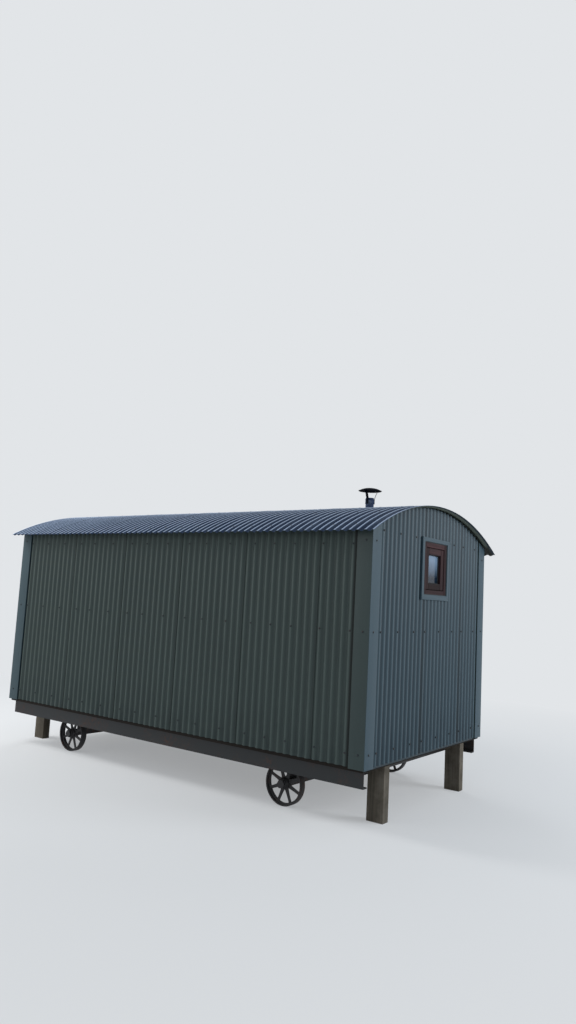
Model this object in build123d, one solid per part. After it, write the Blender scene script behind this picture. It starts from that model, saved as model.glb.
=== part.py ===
from build123d import *
import os
from math import asin, atan2, cos, degrees, pi, sin, sqrt

os.makedirs("parts", exist_ok=True)

# A shepherd's hut: an arched, corrugated body on a steel chassis.
# Millimetres. Origin on the ground under the middle of the body.
# +X runs along the hut to the window end, +Z is up, and the plain long side in view is at -Y.

# Corrugated sheet
pitch = 76.2
wave_depth = 18.0
gauge = 1.2
side_waves = 60
end_waves = 28
hidden_waves = 1
trim_waves = 2
verge_waves = 1

# Fits
seat = 0.3
cut_past = 1.0

# Body
trim_width = trim_waves * pitch
trim_gauge = 1.5
trim_drop = 10.0
clad_foot = 500.0
body_length = side_waves * pitch + 2 * trim_width
body_width = end_waves * pitch + 2 * trim_width
half_length = body_length / 2
half_width = body_width / 2
wall_thickness = 75.0

# Roof
crest_over_door = 282.0
roof_radius = 2750.0
eaves_overhang = 120.0
verge_overhang = verge_waves * pitch
deck_thickness = 70.0

# Chassis
frame_reveal = 30.0
beam_depth = 140.0
beam_width = 60.0
beam_web = 7.0
beam_flange = 10.0
beam_inset = 69.0
beam_end_inset = 40.0
cross_count = 5
cross_width = 60.0
cross_depth = 100.0
cross_wall = 5.0
cross_post_gap = 26.0

# Support posts
post_long = 160.0
post_wide = 90.0
post_inset = 24.0
post_line = 786.0

# Floor
joist_depth = 90.0
joist_width = 45.0
joist_bays = 11
floor_thickness = 22.0

# Wheels and axles
wheel_radius = 195.0
wheel_width = 70.0
rim_thickness = 14.0
hub_radius = 52.0
hub_length = 110.0
spoke_count = 8
spoke_root = 36.0
spoke_tip = 24.0
spoke_thickness = 14.0
wheel_line = 985.0
axle_base = 3000.0
axle_square = 55.0
stub_radius = 22.0
nut_across = 70.0
nut_length = 18.0
bolster_width = 80.0
bolster_depth = 60.0
leg_width = 60.0
leg_length = 110.0
leg_wheel_gap = 40.0

# Window
window_size = 500.0
window_drop = 343.0
frame_side = 52.0
frame_head = 52.0
frame_sill = 45.0
frame_setback = 4.0
sash_gap = 2.0
sash_rail = 64.0
sash_thickness = 44.0
sash_recess = 6.0
stop_width = 12.0
glass_thickness = 6.0
glass_recess = 32.0
flash_side = 44.0
flash_top = 38.0
flash_foot = 48.0
flash_depth = 6.0

# Door
door_width = 740.0
door_height = 1830.0
door_frame_side = 58.0
door_frame_head = 58.0
door_gap = 3.0
door_split = 1000.0
leaf_thickness = 44.0
leaf_recess = 8.0
threshold = 28.0
hinge_length = 420.0
hinge_height = 38.0
hinge_thickness = 5.0
hinge_inset = 150.0
handle_height = 20.0
handle_thickness = 9.0
spindle_radius = 7.0
handle_length = 130.0
handle_standoff = 42.0
plate_width = 40.0
plate_height = 180.0
plate_thickness = 3.0

# Flue
flue_x = 1242.0
flue_y = 750.0
flue_radius = 50.0
flue_wall = 3.0
flue_rise = 350.0
flue_inside = 160.0
boot_size = 300.0
boot_gauge = 3.0
upstand_height = 70.0
upstand_gauge = 5.0
collar_radius = 57.0
collar_height = 57.0
collar_drop = 12.0
cowl_radius = 140.0
cowl_rise = 40.0
cowl_crown = 36.0
cowl_facets = 24
cowl_gauge = 3.0
cowl_gap = 75.0
strap_count = 3
strap_width = 24.0
strap_gauge = 3.0
strap_straight = 10.0
strap_turn = 45.5
strap_out = 80.0

# Levels and planes that follow from the sizes
frame_top = clad_foot - frame_reveal
floor_level = frame_top + joist_depth
floor_top = floor_level + floor_thickness
door_foot_level = floor_top
leaf_foot = door_foot_level + threshold + door_gap
door_top_level = leaf_foot + door_height + door_gap + door_frame_head
crest_level = door_top_level + crest_over_door
window_top_level = crest_level - window_drop
window_foot_level = window_top_level - window_size
roof_centre = crest_level - roof_radius
roof_under = roof_radius - wave_depth - gauge
deck_out = roof_under - seat
deck_in = deck_out - deck_thickness
flue_roof = roof_centre + sqrt(roof_radius ** 2 - flue_y ** 2)
flue_top = flue_roof + flue_rise
sheet_out = trim_gauge + seat
sheet_in = sheet_out + wave_depth + gauge
core_half_length = half_length - sheet_in - seat
core_half_width = half_width - sheet_in - seat
beam_face = half_width - beam_inset


def block(x0, x1, y0, y1, z0, z1):
    """A box between two corners."""
    return Pos((x0 + x1) / 2, (y0 + y1) / 2, (z0 + z1) / 2) * Box(x1 - x0, y1 - y0, z1 - z0)


def vault(radius, reach):
    """The solid cylinder along X whose top is an arch of the roof."""
    return Pos(0, 0, roof_centre) * Rot(0, 90, 0) * Cylinder(radius, 2 * reach)


def arch_band(outer, inner, half_angle, reach):
    """A curved slab along X between two radii, with its edges square to the curve."""
    ends = []
    for radius in (outer, inner):
        y = radius * sin(half_angle)
        z = radius * cos(half_angle)
        ends.append((y, z, radius))
    (yo, zo, ro), (yi, zi, ri) = ends
    outline = Wire([
        ThreePointArc((0, -yo, zo), (0, 0, ro), (0, yo, zo)),
        Line((0, yo, zo), (0, yi, zi)),
        ThreePointArc((0, yi, zi), (0, 0, ri), (0, -yi, zi)),
        Line((0, -yi, zi), (0, -yo, zo)),
    ])
    band = extrude(Face(outline), amount=reach, dir=(1, 0, 0), both=True)
    return Pos(0, 0, roof_centre) * band


def wave_line(waves, middle, edge):
    """Points along X, folded straight from the edge level to the middle level and back, wave by wave."""
    start = -waves * pitch / 2
    line = [(start, edge)]
    for n in range(waves):
        line += [(start + (n + 0.5) * pitch, middle), (start + (n + 1) * pitch, edge)]
    return line


def wave_sheet(waves, height):
    """A corrugated sheet upright on Z = 0, ridges outward at Y = 0, valleys at both edges."""
    outer = wave_line(waves, 0, -wave_depth)
    inner = [(x, y - gauge) for x, y in reversed(outer)]
    return extrude(make_face(Polyline(*outer, *inner, close=True)), height)


def wave_arch(waves, outer, inner, half_angle):
    """A curved slab along X, smooth below and corrugated on top, with a ridge at each end."""
    half = waves * pitch / 2
    section = wave_line(waves, outer - wave_depth, outer) + [(half, inner), (-half, inner)]
    slab = revolve(make_face(Polyline(*section, close=True)), Axis.X, revolution_arc=degrees(2 * half_angle))
    return Pos(0, 0, roof_centre) * Rot(90 - degrees(half_angle), 0, 0) * slab


def wave_cut_vault(radius, waves):
    """The space under the arch, its top cut straight from valley to valley as sheets are trimmed."""
    valleys = [(n - waves / 2) * pitch for n in range(waves + 1)]
    crown = [(y, roof_centre + sqrt(radius ** 2 - y ** 2)) for y in valleys]
    outline = Polyline((valleys[0], 0), *crown, (valleys[-1], 0), close=True)
    return extrude(Plane.YZ * make_face(outline), half_length, both=True)


def ring(half_wide, z0, z1, side, head, foot, x0, x1):
    """A rectangular frame facing +X, with its own width for sides, head and foot."""
    outer = block(x0, x1, -half_wide, half_wide, z0, z1)
    hole = block(x0 - cut_past, x1 + cut_past, -half_wide + side, half_wide - side, z0 + foot, z1 - head)
    return outer - hole


def facing_minus_x(shape):
    """Turn a piece made for the +X end to the -X end."""
    return Rot(0, 0, 180) * shape


# Chassis: two channels, toes inward, with square tubes between them
web = block(-half_length + beam_end_inset, half_length - beam_end_inset, -beam_face, -beam_face + beam_web,
            frame_top - beam_depth, frame_top)
top_flange = block(-half_length + beam_end_inset, half_length - beam_end_inset, -beam_face,
                   -beam_face + beam_width, frame_top - beam_flange, frame_top)
foot_flange = Pos(0, 0, beam_flange - beam_depth) * top_flange
chassis_beam_left = web + top_flange + foot_flange
chassis_beam_right = Rot(0, 0, 180) * chassis_beam_left

cross_half = beam_face - beam_width
cross_first = -half_length + post_inset + post_long + cross_post_gap + cross_width / 2
cross_step = -2 * cross_first / (cross_count - 1)
cross_tube = block(-cross_width / 2, cross_width / 2, -cross_half, cross_half,
                   frame_top - cross_depth, frame_top)
cross_hole = block(-cross_width / 2 + cross_wall, cross_width / 2 - cross_wall, -cross_half - cut_past,
                   cross_half + cut_past, frame_top - cross_depth + cross_wall, frame_top - cross_wall)
cross_tube = cross_tube - cross_hole
chassis_cross_tubes = Compound([Pos(cross_first + n * cross_step, 0, 0) * cross_tube
                                for n in range(cross_count)])

# Support posts under the floor frame, just inside each end
post = block(half_length - post_inset - post_long, half_length - post_inset, -post_line - post_wide / 2,
             -post_line + post_wide / 2, 0, frame_top)
posts_one_end = [post, mirror(post, Plane.XZ)]
support_posts = Compound(posts_one_end + [mirror(item, Plane.YZ) for item in posts_one_end])

# Floor frame and boards
floor_frame = block(-core_half_length, core_half_length, -core_half_width, core_half_width,
                    frame_top, floor_level)
bay_pitch = (2 * core_half_length - joist_width) / joist_bays
bay = block(-core_half_length + joist_width, -core_half_length + bay_pitch, -core_half_width + joist_width,
            core_half_width - joist_width, frame_top - cut_past, floor_level + cut_past)
for n in range(joist_bays):
    floor_frame = floor_frame - Pos(n * bay_pitch, 0, 0) * bay
floor_boards = block(-core_half_length, core_half_length, -core_half_width, core_half_width,
                     floor_level, floor_top)

# Wall cores under the arched deck
room_half_length = core_half_length - wall_thickness
room_half_width = core_half_width - wall_thickness
inner_vault = vault(deck_in, half_length)
side_core = block(-core_half_length, core_half_length, room_half_width, core_half_width,
                  floor_top, crest_level)
wall_right = side_core & inner_vault
wall_left = Rot(0, 0, 180) * wall_right
end_core = block(room_half_length, core_half_length, -room_half_width, room_half_width,
                 floor_top, crest_level)
end_core = end_core & inner_vault

window_hole = block(room_half_length - cut_past, half_length + flash_depth, -window_size / 2 - seat,
                    window_size / 2 + seat, window_foot_level - seat, window_top_level + seat)
wall_window_end = end_core - window_hole

door_frame_half = door_width / 2 + door_gap + door_frame_side
door_hole = block(room_half_length - cut_past, half_length + flash_depth, -door_frame_half - seat,
                  door_frame_half + seat, door_foot_level, door_top_level + seat)
wall_door_end = facing_minus_x(end_core - door_hole)

# Corrugated cladding
side_sheet_y = half_width - sheet_out
side_sheet_top = roof_centre + sqrt((roof_under - seat) ** 2 - side_sheet_y ** 2)
side_sheet = wave_sheet(side_waves + 2 * hidden_waves, side_sheet_top - clad_foot)
cladding_right = Pos(0, side_sheet_y, clad_foot) * side_sheet
cladding_left = Rot(0, 0, 180) * cladding_right

end_sheet = wave_sheet(end_waves + 2 * hidden_waves, crest_level - clad_foot)
end_sheet = Pos(half_length - sheet_out, 0, clad_foot) * Rot(0, 0, -90) * end_sheet
end_sheet = end_sheet & wave_cut_vault(roof_under - seat, end_waves + 2 * hidden_waves)
cladding_window_end = end_sheet - window_hole
sheet_door_hole = block(room_half_length, half_length + flash_depth, -door_frame_half - seat,
                        door_frame_half + seat, door_foot_level - seat, door_top_level + seat)
cladding_door_end = facing_minus_x(end_sheet - sheet_door_hole)

# Folded corner trims
trim_top = roof_centre + roof_under
trim = block(half_length - trim_width, half_length, half_width - trim_width, half_width,
             clad_foot - trim_drop, trim_top)
trim_inside = block(0, half_length - trim_gauge, 0, half_width - trim_gauge, 0, 2 * trim_top)
trim = (trim - trim_inside) & vault(roof_under - seat, 2 * half_length)
trims_one_end = [trim, mirror(trim, Plane.XZ)]
corner_trims = Compound(trims_one_end + [mirror(item, Plane.YZ) for item in trims_one_end])

# Roof: an arched deck on the walls, and curved corrugated sheets that fill their waves down to it
roof_half_length = half_length + verge_overhang
roof_waves = side_waves + 2 * trim_waves + 2 * verge_waves
eaves_angle = asin((half_width + eaves_overhang) / roof_radius)
deck_angle = asin(core_half_width / deck_out)
flue_hole = Pos(flue_x, flue_y, flue_top / 2) * Cylinder(flue_radius + seat, flue_top * 2)
roof_deck = arch_band(deck_out, deck_in, deck_angle, core_half_length) - flue_hole
roof_sheets = wave_arch(roof_waves, roof_radius, roof_under, eaves_angle) - flue_hole

# Wheels: cast rim, tapered spokes and hub in one
wheel_at = axle_base / 2
rim_in = wheel_radius - rim_thickness
rim = Cylinder(wheel_radius, wheel_width) - Cylinder(rim_in, wheel_width + cut_past)
hub = Cylinder(hub_radius, hub_length)
spoke_end = rim_in + rim_thickness / 2
spoke_outline = Polyline((-spoke_root / 2, 0), (spoke_root / 2, 0), (spoke_tip / 2, spoke_end),
                         (-spoke_tip / 2, spoke_end), close=True)
spoke = extrude(make_face(spoke_outline), spoke_thickness / 2, both=True)
wheel = rim + hub + [Rot(0, 0, 360 * (n + 0.5) / spoke_count) * spoke for n in range(spoke_count)]
wheel = wheel - Cylinder(stub_radius + seat, hub_length + cut_past)
wheel = Rot(90, 0, 0) * wheel
wheel_places = [(x, y) for x in (-wheel_at, wheel_at) for y in (-wheel_line, wheel_line)]
wheels = Compound([Pos(x, y, wheel_radius) * wheel for x, y in wheel_places])

# Axles: square bar between the hubs, round stubs through them, and six-sided nuts
bar_half = wheel_line - hub_length / 2 - seat
nut_in = wheel_line + hub_length / 2 + seat
axle = Box(axle_square, 2 * bar_half, axle_square)
axle = axle + Rot(90, 0, 0) * Cylinder(stub_radius, 2 * nut_in)
nut = extrude(Plane.XZ * RegularPolygon(nut_across / 2, 6, major_radius=False), nut_length)
nut_left = Pos(0, -nut_in, 0) * nut
axle = axle + nut_left + mirror(nut_left, Plane.XZ)
axles = Compound([Pos(x, 0, wheel_radius) * axle for x in (-wheel_at, wheel_at)])

# Bolsters across the chassis over each axle, and the legs between them
bolster_foot = frame_top - bolster_depth
bolster = block(-bolster_width / 2, bolster_width / 2, -cross_half, cross_half, bolster_foot, frame_top)
bolster_hole = block(-bolster_width / 2 + cross_wall, bolster_width / 2 - cross_wall, -cross_half - cut_past,
                     cross_half + cut_past, bolster_foot + cross_wall, frame_top - cross_wall)
bolster = bolster - bolster_hole
bolsters = Compound([Pos(wheel_at, 0, 0) * bolster, Pos(-wheel_at, 0, 0) * bolster])
leg_out = bar_half - leg_wheel_gap
leg = block(wheel_at - leg_length / 2, wheel_at + leg_length / 2, leg_out - leg_width, leg_out,
            wheel_radius + axle_square / 2, bolster_foot)
legs_one_end = [leg, mirror(leg, Plane.XZ)]
axle_legs = Compound(legs_one_end + [mirror(item, Plane.YZ) for item in legs_one_end])

# Window
frame_face = half_length - frame_setback
sash_back = frame_face - sash_recess - sash_thickness
frame_front = ring(window_size / 2, window_foot_level, window_top_level, frame_side, frame_head, frame_sill,
                   sash_back, frame_face)
frame_back = ring(window_size / 2, window_foot_level, window_top_level, frame_side + stop_width,
                  frame_head + stop_width, frame_sill + stop_width, room_half_length, sash_back)
window_frame = frame_front + frame_back
sash_half = window_size / 2 - frame_side - sash_gap
sash_foot = window_foot_level + frame_sill + sash_gap
sash_top = window_top_level - frame_head - sash_gap
window_sash = ring(sash_half, sash_foot, sash_top, sash_rail, sash_rail, sash_rail, sash_back,
                   sash_back + sash_thickness)
glass_face = sash_back + sash_thickness - glass_recess
glass_half = sash_half - sash_rail - seat
window_glass = block(glass_face - glass_thickness, glass_face, -glass_half, glass_half,
                     sash_foot + sash_rail + seat, sash_top - sash_rail - seat)
flash_back = half_length - sheet_out + seat
window_flashing = ring(window_size / 2 + flash_side, window_foot_level - flash_foot + seat,
                       window_top_level + flash_top - seat, flash_side - seat, flash_top - seat,
                       flash_foot - seat, flash_back, half_length + flash_depth)

# Door
door_face = half_length - frame_setback
leaf_front = door_face - leaf_recess
leaf_back = leaf_front - leaf_thickness
door_case = ring(door_frame_half, door_foot_level, door_top_level, door_frame_side, door_frame_head,
                 threshold, leaf_back, door_face)
door_stop = ring(door_frame_half, door_foot_level, door_top_level, door_frame_side + door_gap + stop_width,
                 door_frame_head + door_gap + stop_width, threshold + door_gap + stop_width, room_half_length,
                 leaf_back)
door_frame = facing_minus_x(door_case + door_stop)
leaf_half = door_width / 2
door_lower = block(leaf_back, leaf_front, -leaf_half, leaf_half, leaf_foot, leaf_foot + door_split)
door_upper = block(leaf_back, leaf_front, -leaf_half, leaf_half, leaf_foot + door_split + door_gap,
                   leaf_foot + door_height)
door_leaf_lower = facing_minus_x(door_lower)
door_leaf_upper = facing_minus_x(door_upper)
door_flashing = ring(door_frame_half + flash_side, door_foot_level - flash_foot + seat,
                     door_top_level + flash_top - seat, flash_side - seat, flash_top - seat,
                     flash_foot - seat, flash_back, half_length + flash_depth)
door_flashing = facing_minus_x(door_flashing)
hinge_levels = [
    leaf_foot + hinge_inset,
    leaf_foot + door_split - hinge_inset,
    leaf_foot + door_split + door_gap + hinge_inset,
    leaf_foot + door_height - hinge_inset,
]
hinge_tip = hinge_length - leaf_half
strap_outline = Polyline((-leaf_half, -hinge_height / 2), (hinge_tip, -hinge_height / 4),
                         (hinge_tip, hinge_height / 4), (-leaf_half, hinge_height / 2), close=True)
hinge = extrude(Plane.YZ * make_face(strap_outline), hinge_thickness)
door_hinges = Compound([facing_minus_x(Pos(leaf_front, 0, z) * hinge) for z in hinge_levels])
handle_y = leaf_half - plate_width
handle_z = leaf_foot + door_split - hinge_inset
plate = block(leaf_front, leaf_front + plate_thickness, handle_y - plate_width / 2,
              handle_y + plate_width / 2, handle_z - plate_height / 2, handle_z + plate_height / 2)
spindle = Pos(leaf_front + handle_standoff / 2, handle_y, handle_z) * Rot(0, 90, 0) * Cylinder(
    spindle_radius, handle_standoff)
lever_in = leaf_front + handle_standoff
lever = block(lever_in, lever_in + handle_thickness, handle_y + spindle_radius - handle_length,
              handle_y + spindle_radius, handle_z - handle_height / 2, handle_z + handle_height / 2)
door_handle = facing_minus_x(plate + spindle + lever)

# Flue
pipe_foot = roof_centre + deck_in - flue_inside
collar_top = flue_top - collar_drop
collar_foot = collar_top - collar_height
pipe_bore = flue_radius - flue_wall
pipe_outline = Polyline((pipe_bore, pipe_foot), (flue_radius, pipe_foot), (flue_radius, collar_foot),
                        (collar_radius, collar_foot), (collar_radius, collar_top), (flue_radius, collar_top),
                        (flue_radius, flue_top), (pipe_bore, flue_top), close=True)
flue_pipe = Pos(flue_x, flue_y, 0) * revolve(Plane.XZ * make_face(pipe_outline), Axis.Z)
boot_plate = arch_band(roof_radius + seat + boot_gauge, roof_radius + seat, eaves_angle, roof_half_length)
boot_plate = boot_plate & block(flue_x - boot_size / 2, flue_x + boot_size / 2, flue_y - boot_size / 2,
                                flue_y + boot_size / 2, 0, 2 * flue_top)
upstand = Pos(flue_x, flue_y, flue_roof) * Cylinder(flue_radius + seat + upstand_gauge, 2 * upstand_height)
upstand = upstand - vault(roof_radius + seat + boot_gauge / 2, half_length)
flue_boot = (boot_plate + upstand) - flue_hole
cowl_foot = flue_top + cowl_gap
cowl_rim = RegularPolygon(cowl_radius, cowl_facets)
cowl_fall = cowl_rise - cowl_gauge
cowl_cone = extrude(cowl_rim, cowl_fall, taper=degrees(atan2(cowl_radius - cowl_crown, cowl_fall)))
cowl = extrude(cowl_rim, cowl_gauge) + Pos(0, 0, cowl_gauge) * cowl_cone
cowl_cap = Pos(flue_x, flue_y, cowl_foot) * (cowl - cowl_cone)
strap_in = collar_radius + seat
strap_reach = sqrt((strap_out + strap_gauge / 2) ** 2 + (strap_width / 2) ** 2)
cowl_flat = cowl_radius * cos(pi / cowl_facets)
cowl_slope = cowl_fall / (cowl_radius - cowl_crown)
strap_tip = cowl_foot + (cowl_flat - strap_reach) * cowl_slope - seat
strap_bend = collar_top + strap_straight
strap_line = Polyline((strap_in, collar_foot), (strap_in + strap_gauge, collar_foot),
                      (strap_in + strap_gauge, strap_bend), (strap_out + strap_gauge / 2, strap_tip),
                      (strap_out - strap_gauge / 2, strap_tip), (strap_in, strap_bend), close=True)
strap = extrude(Plane.XZ * make_face(strap_line), strap_width / 2, both=True)
cowl_straps = Compound([Pos(flue_x, flue_y, 0) * Rot(0, 0, 360 * n / strap_count + strap_turn) * strap
                        for n in range(strap_count)])

nodes = {
    "chassis_beam_left": chassis_beam_left,
    "chassis_beam_right": chassis_beam_right,
    "chassis_cross_tubes": chassis_cross_tubes,
    "bolsters": bolsters,
    "axle_legs": axle_legs,
    "axles": axles,
    "wheels": wheels,
    "support_posts": support_posts,
    "floor_frame": floor_frame,
    "floor_boards": floor_boards,
    "wall_left": wall_left,
    "wall_right": wall_right,
    "wall_window_end": wall_window_end,
    "wall_door_end": wall_door_end,
    "cladding_left": cladding_left,
    "cladding_right": cladding_right,
    "cladding_window_end": cladding_window_end,
    "cladding_door_end": cladding_door_end,
    "corner_trims": corner_trims,
    "roof_deck": roof_deck,
    "roof_sheets": roof_sheets,
    "window_frame": window_frame,
    "window_sash": window_sash,
    "window_glass": window_glass,
    "window_flashing": window_flashing,
    "door_frame": door_frame,
    "door_leaf_lower": door_leaf_lower,
    "door_leaf_upper": door_leaf_upper,
    "door_flashing": door_flashing,
    "door_hinges": door_hinges,
    "door_handle": door_handle,
    "flue_pipe": flue_pipe,
    "flue_boot": flue_boot,
    "cowl_straps": cowl_straps,
    "cowl_cap": cowl_cap,
}

for name, shape in nodes.items():
    export_step(shape, f"parts/{name}.step")
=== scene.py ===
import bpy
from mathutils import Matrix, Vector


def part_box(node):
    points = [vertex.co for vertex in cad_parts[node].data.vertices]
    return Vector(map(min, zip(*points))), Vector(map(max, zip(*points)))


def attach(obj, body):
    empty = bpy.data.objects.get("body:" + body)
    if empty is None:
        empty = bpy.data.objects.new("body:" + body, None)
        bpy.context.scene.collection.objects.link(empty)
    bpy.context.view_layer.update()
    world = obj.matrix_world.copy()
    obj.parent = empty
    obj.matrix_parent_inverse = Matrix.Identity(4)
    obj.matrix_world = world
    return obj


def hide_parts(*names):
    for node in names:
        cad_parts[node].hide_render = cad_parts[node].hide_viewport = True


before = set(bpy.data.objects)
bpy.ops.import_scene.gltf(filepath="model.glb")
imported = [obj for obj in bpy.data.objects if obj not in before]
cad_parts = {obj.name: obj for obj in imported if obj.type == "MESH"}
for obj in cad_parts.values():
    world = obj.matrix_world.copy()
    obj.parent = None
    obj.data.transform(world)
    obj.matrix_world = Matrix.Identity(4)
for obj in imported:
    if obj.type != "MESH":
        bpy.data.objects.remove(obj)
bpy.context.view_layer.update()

import math
from collections import namedtuple

import bpy
import numpy as np
from bpy.props import FloatProperty, FloatVectorProperty, IntProperty, PointerProperty
from bpy.types import Operator, Panel, PropertyGroup
from mathutils import Matrix, Vector

bl_info = {
    "name": "Shepherd's Hut",
    "version": (1, 0, 0),
    "blender": (4, 5, 0),
    "location": "View3D > Sidebar > Hut",
    "description": "Corrugated sheets, joinery, flue, wheels and finishes for a shepherd's hut",
    "category": "Object",
}


def corners(node):
    """The lowest and highest corner of a solid, as arrays in metres."""
    return [np.array(corner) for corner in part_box(node)]


TRIM_LOW, TRIM_HIGH = corners("corner_trims")
HALF_LENGTH, HALF_WIDTH = TRIM_HIGH[:2]
ROOF_REACH, EAVES, CREST = corners("roof_sheets")[1]
CLAD_FOOT = corners("cladding_window_end")[0][2]


def screen(red, green, blue):
    """A colour written 0 to 255 as it looks on a screen, as the linear values that Blender mixes."""
    c = np.array([red, green, blue]) / 255
    return tuple(np.where(c <= 0.04045, c / 12.92, ((c + 0.055) / 1.055) ** 2.4).tolist())


def length(default, description):
    """A size in metres for the sidebar."""
    return FloatProperty(description=description, default=default, unit="LENGTH", precision=4)


def angle(degrees, description):
    """An angle for the sidebar."""
    return FloatProperty(description=description, default=math.radians(degrees), subtype="ANGLE")


def count(default, least, description):
    """A whole number for the sidebar."""
    return IntProperty(description=description, default=default, min=least)


def colour(red, green, blue, description):
    """A colour for the sidebar."""
    return FloatVectorProperty(description=description, default=screen(red, green, blue), subtype="COLOR",
                               size=3, min=0, max=1)


class SheetSizes(PropertyGroup):
    pitch: length(0.0762, "Distance from ridge to ridge of the corrugated sheet")
    depth: length(0.018, "Height of a ridge over a valley")
    gauge: length(0.0012, "Thickness of the sheet")
    behind: length(0.0018, "How far the wall ridges lie behind the face of the corner trims")
    radius: length(2.75, "Radius of the roof over its ridges")
    lift: length(0.0022, "How far the free edge of a lapped sheet stands off the one below")
    lip: length(0.011, "How far the roof sheet turns down past its last ridge")
    cover: count(11, 2, "Waves that one sheet covers")
    columns: count(12, 4, "Steps across one wave")
    arc_steps: count(32, 8, "Steps along the roof's arch")


class TrimSizes(PropertyGroup):
    leg: length(0.1524, "Width of each face of a corner trim")
    gauge: length(0.0015, "Thickness of the folded sheet")
    hem: length(0.017, "Depth of the edge that is turned in")
    fold: length(0.0025, "Radius of the folds")
    strip: length(0.019, "Height of the folded strip under the end sheets")


class ScrewSizes(PropertyGroup):
    washer: length(0.0100, "Radius of the sealing washer")
    head: length(0.0066, "Radius of the cap on the head")
    height: length(0.0065, "Height of washer and head together")
    foot_row: length(0.108, "Height of the lowest row over the foot of the sheets")
    middle_row: length(1.098, "Height of the middle row over the foot of the sheets")
    top_row: length(1.960, "Height of the top row over the foot of the sheets")
    side_drop: length(0.13, "How far the top row lies lower on the long walls")
    trim_drop: length(0.10, "How far the top row lies lower on the corner trims")
    trim_inset: length(0.065, "Distance of the trims' screws from the corner")
    flue_clear: length(0.24, "Distance from the flue within which the roof has no screws")


class JoinerySizes(PropertyGroup):
    arris: length(0.003, "Radius of the softened edges of the timber")
    frame_side: length(0.052, "Width of the window frame's members")
    frame_sill: length(0.045, "Height of the window frame's sill")
    frame_stop: length(0.012, "How far the window frame's stop reaches past its members")
    flash_return: length(0.010, "Depth that the flashing's outer edge turns back to the sheet")
    door_side: length(0.058, "Width of the door frame's members")
    door_sill: length(0.028, "Height of the door's sill")
    door_stop: length(0.015, "How far the door frame's stop reaches past its members")
    board: length(0.0925, "Width of one board of the door")


class FlueSizes(PropertyGroup):
    radius: length(0.047, "Outside radius of the flue pipe")
    wall: length(0.003, "Thickness of the pipe and the cowl")
    band_radius: length(0.0515, "Radius of the clamp band that holds the straps")
    band_height: length(0.057, "Height of the clamp band")
    cap_radius: length(0.134, "Radius of the cowl's cap")
    cap_rise: length(0.034, "Height of the cap over its rim")
    strap_width: length(0.026, "Width of the straps under the cap")
    strap_reach: length(0.096, "Distance of the straps' tips from the middle of the pipe")
    strap_turn: angle(26.0, "Where the first strap stands round the pipe")


class WheelSizes(PropertyGroup):
    radius: length(0.195, "Radius of the wheel")
    width: length(0.070, "Width of the tyre")
    hub_radius: length(0.052, "Radius of the hub")
    hub_length: length(0.110, "Length of the hub along the axle")
    bore: length(0.0223, "Radius of the hole for the axle")
    base: length(3.000, "Distance between the axles")
    track: length(0.985, "Distance of the wheels from the middle of the hut")
    spokes: count(8, 3, "Spokes of one wheel")


class FinishColours(PropertyGroup):
    # Painted light: the end walls' sheets take a lighter, bluer copy of the sheet paint than the long walls',
    # as if lit by more sky.
    side_paint_shaded: colour(58, 71, 69, "Painted sheets of the long walls")
    end_paint_lit: colour(58, 78, 88, "Painted sheets of the end walls")
    # Painted light: faces that look along the hut take a lighter, bluer copy of the trim paint than those
    # that look across it; flashings and foot strips take the lighter copy.
    side_trim_shaded: colour(49, 63, 63, "Corner trims where they face sideways")
    end_trim_lit: colour(55, 76, 87, "Corner trims and flashings where they face the ends")
    # Painted reflection of a blue sky on the roof: pale blue ridges as painted highlights and dark navy
    # valleys as painted shade.
    roof: colour(162, 182, 210, "Roof sheets on their ridges")
    roof_valley_shade: colour(30, 50, 77, "Roof sheets in their valleys")
    soffit: colour(84, 92, 84, "Underside of the roof sheets")
    # Painted shade: the dark navy of the roof sheets' underside along the verge.
    verge_shade: colour(34, 52, 64, "Underside of the roof sheets at their outer edge")
    lichen: colour(128, 134, 126, "Lichen on the roof")
    stain: colour(58, 38, 40, "Stained timber, worn")
    stain_deep: colour(16, 10, 14, "Stained timber, in its grain")
    silver: colour(136, 130, 120, "Timber that the weather has bleached")
    # Painted reflection of the sky in the glass: pale above, falling to a dark shade below.
    glass_high: colour(124, 148, 174, "Upper part of the window glass")
    glass_low: colour(24, 40, 56, "Lower part of the window glass")
    dust: colour(150, 156, 160, "Dust on the window glass")
    # Painted reflection: the pipe's steel is painted a lighter blue than the cap's, as if it reflected the
    # sky; the boot takes this colour too.
    steel: colour(40, 56, 86, "Blackened steel of the flue")
    # Painted highlight: the pale patches on the pipe.
    pale_steel_highlight: colour(112, 124, 142, "Flue steel where it is worn")
    burnt_steel: colour(56, 48, 46, "Flue steel in its heat marks")
    cap_steel: colour(8, 13, 24, "Sooted steel of the cap and its straps")
    # Painted shade: the chassis paint is near black, as dark as the shade under the hut.
    chassis: colour(26, 30, 33, "Painted steel of the chassis")
    iron: colour(44, 44, 46, "Cast iron of the wheels and axles")
    door_iron: colour(20, 20, 22, "Black ironwork of the door")
    zinc: colour(120, 130, 142, "Screws of the roof")
    rust: colour(92, 54, 34, "Rust on iron and steel")
    pale_timber: colour(176, 148, 112, "Sawn softwood")
    # Painted shade: the joists are near black, as dark as the shade under the hut.
    shaded_joist_timber: colour(40, 36, 33, "Treated joists under the floor")
    grey_timber: colour(104, 98, 88, "Timber that has gone grey")
    lining: colour(190, 166, 130, "Boards inside the hut")
    washer: colour(38, 44, 46, "Sealing washers and glazing gasket")


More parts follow.
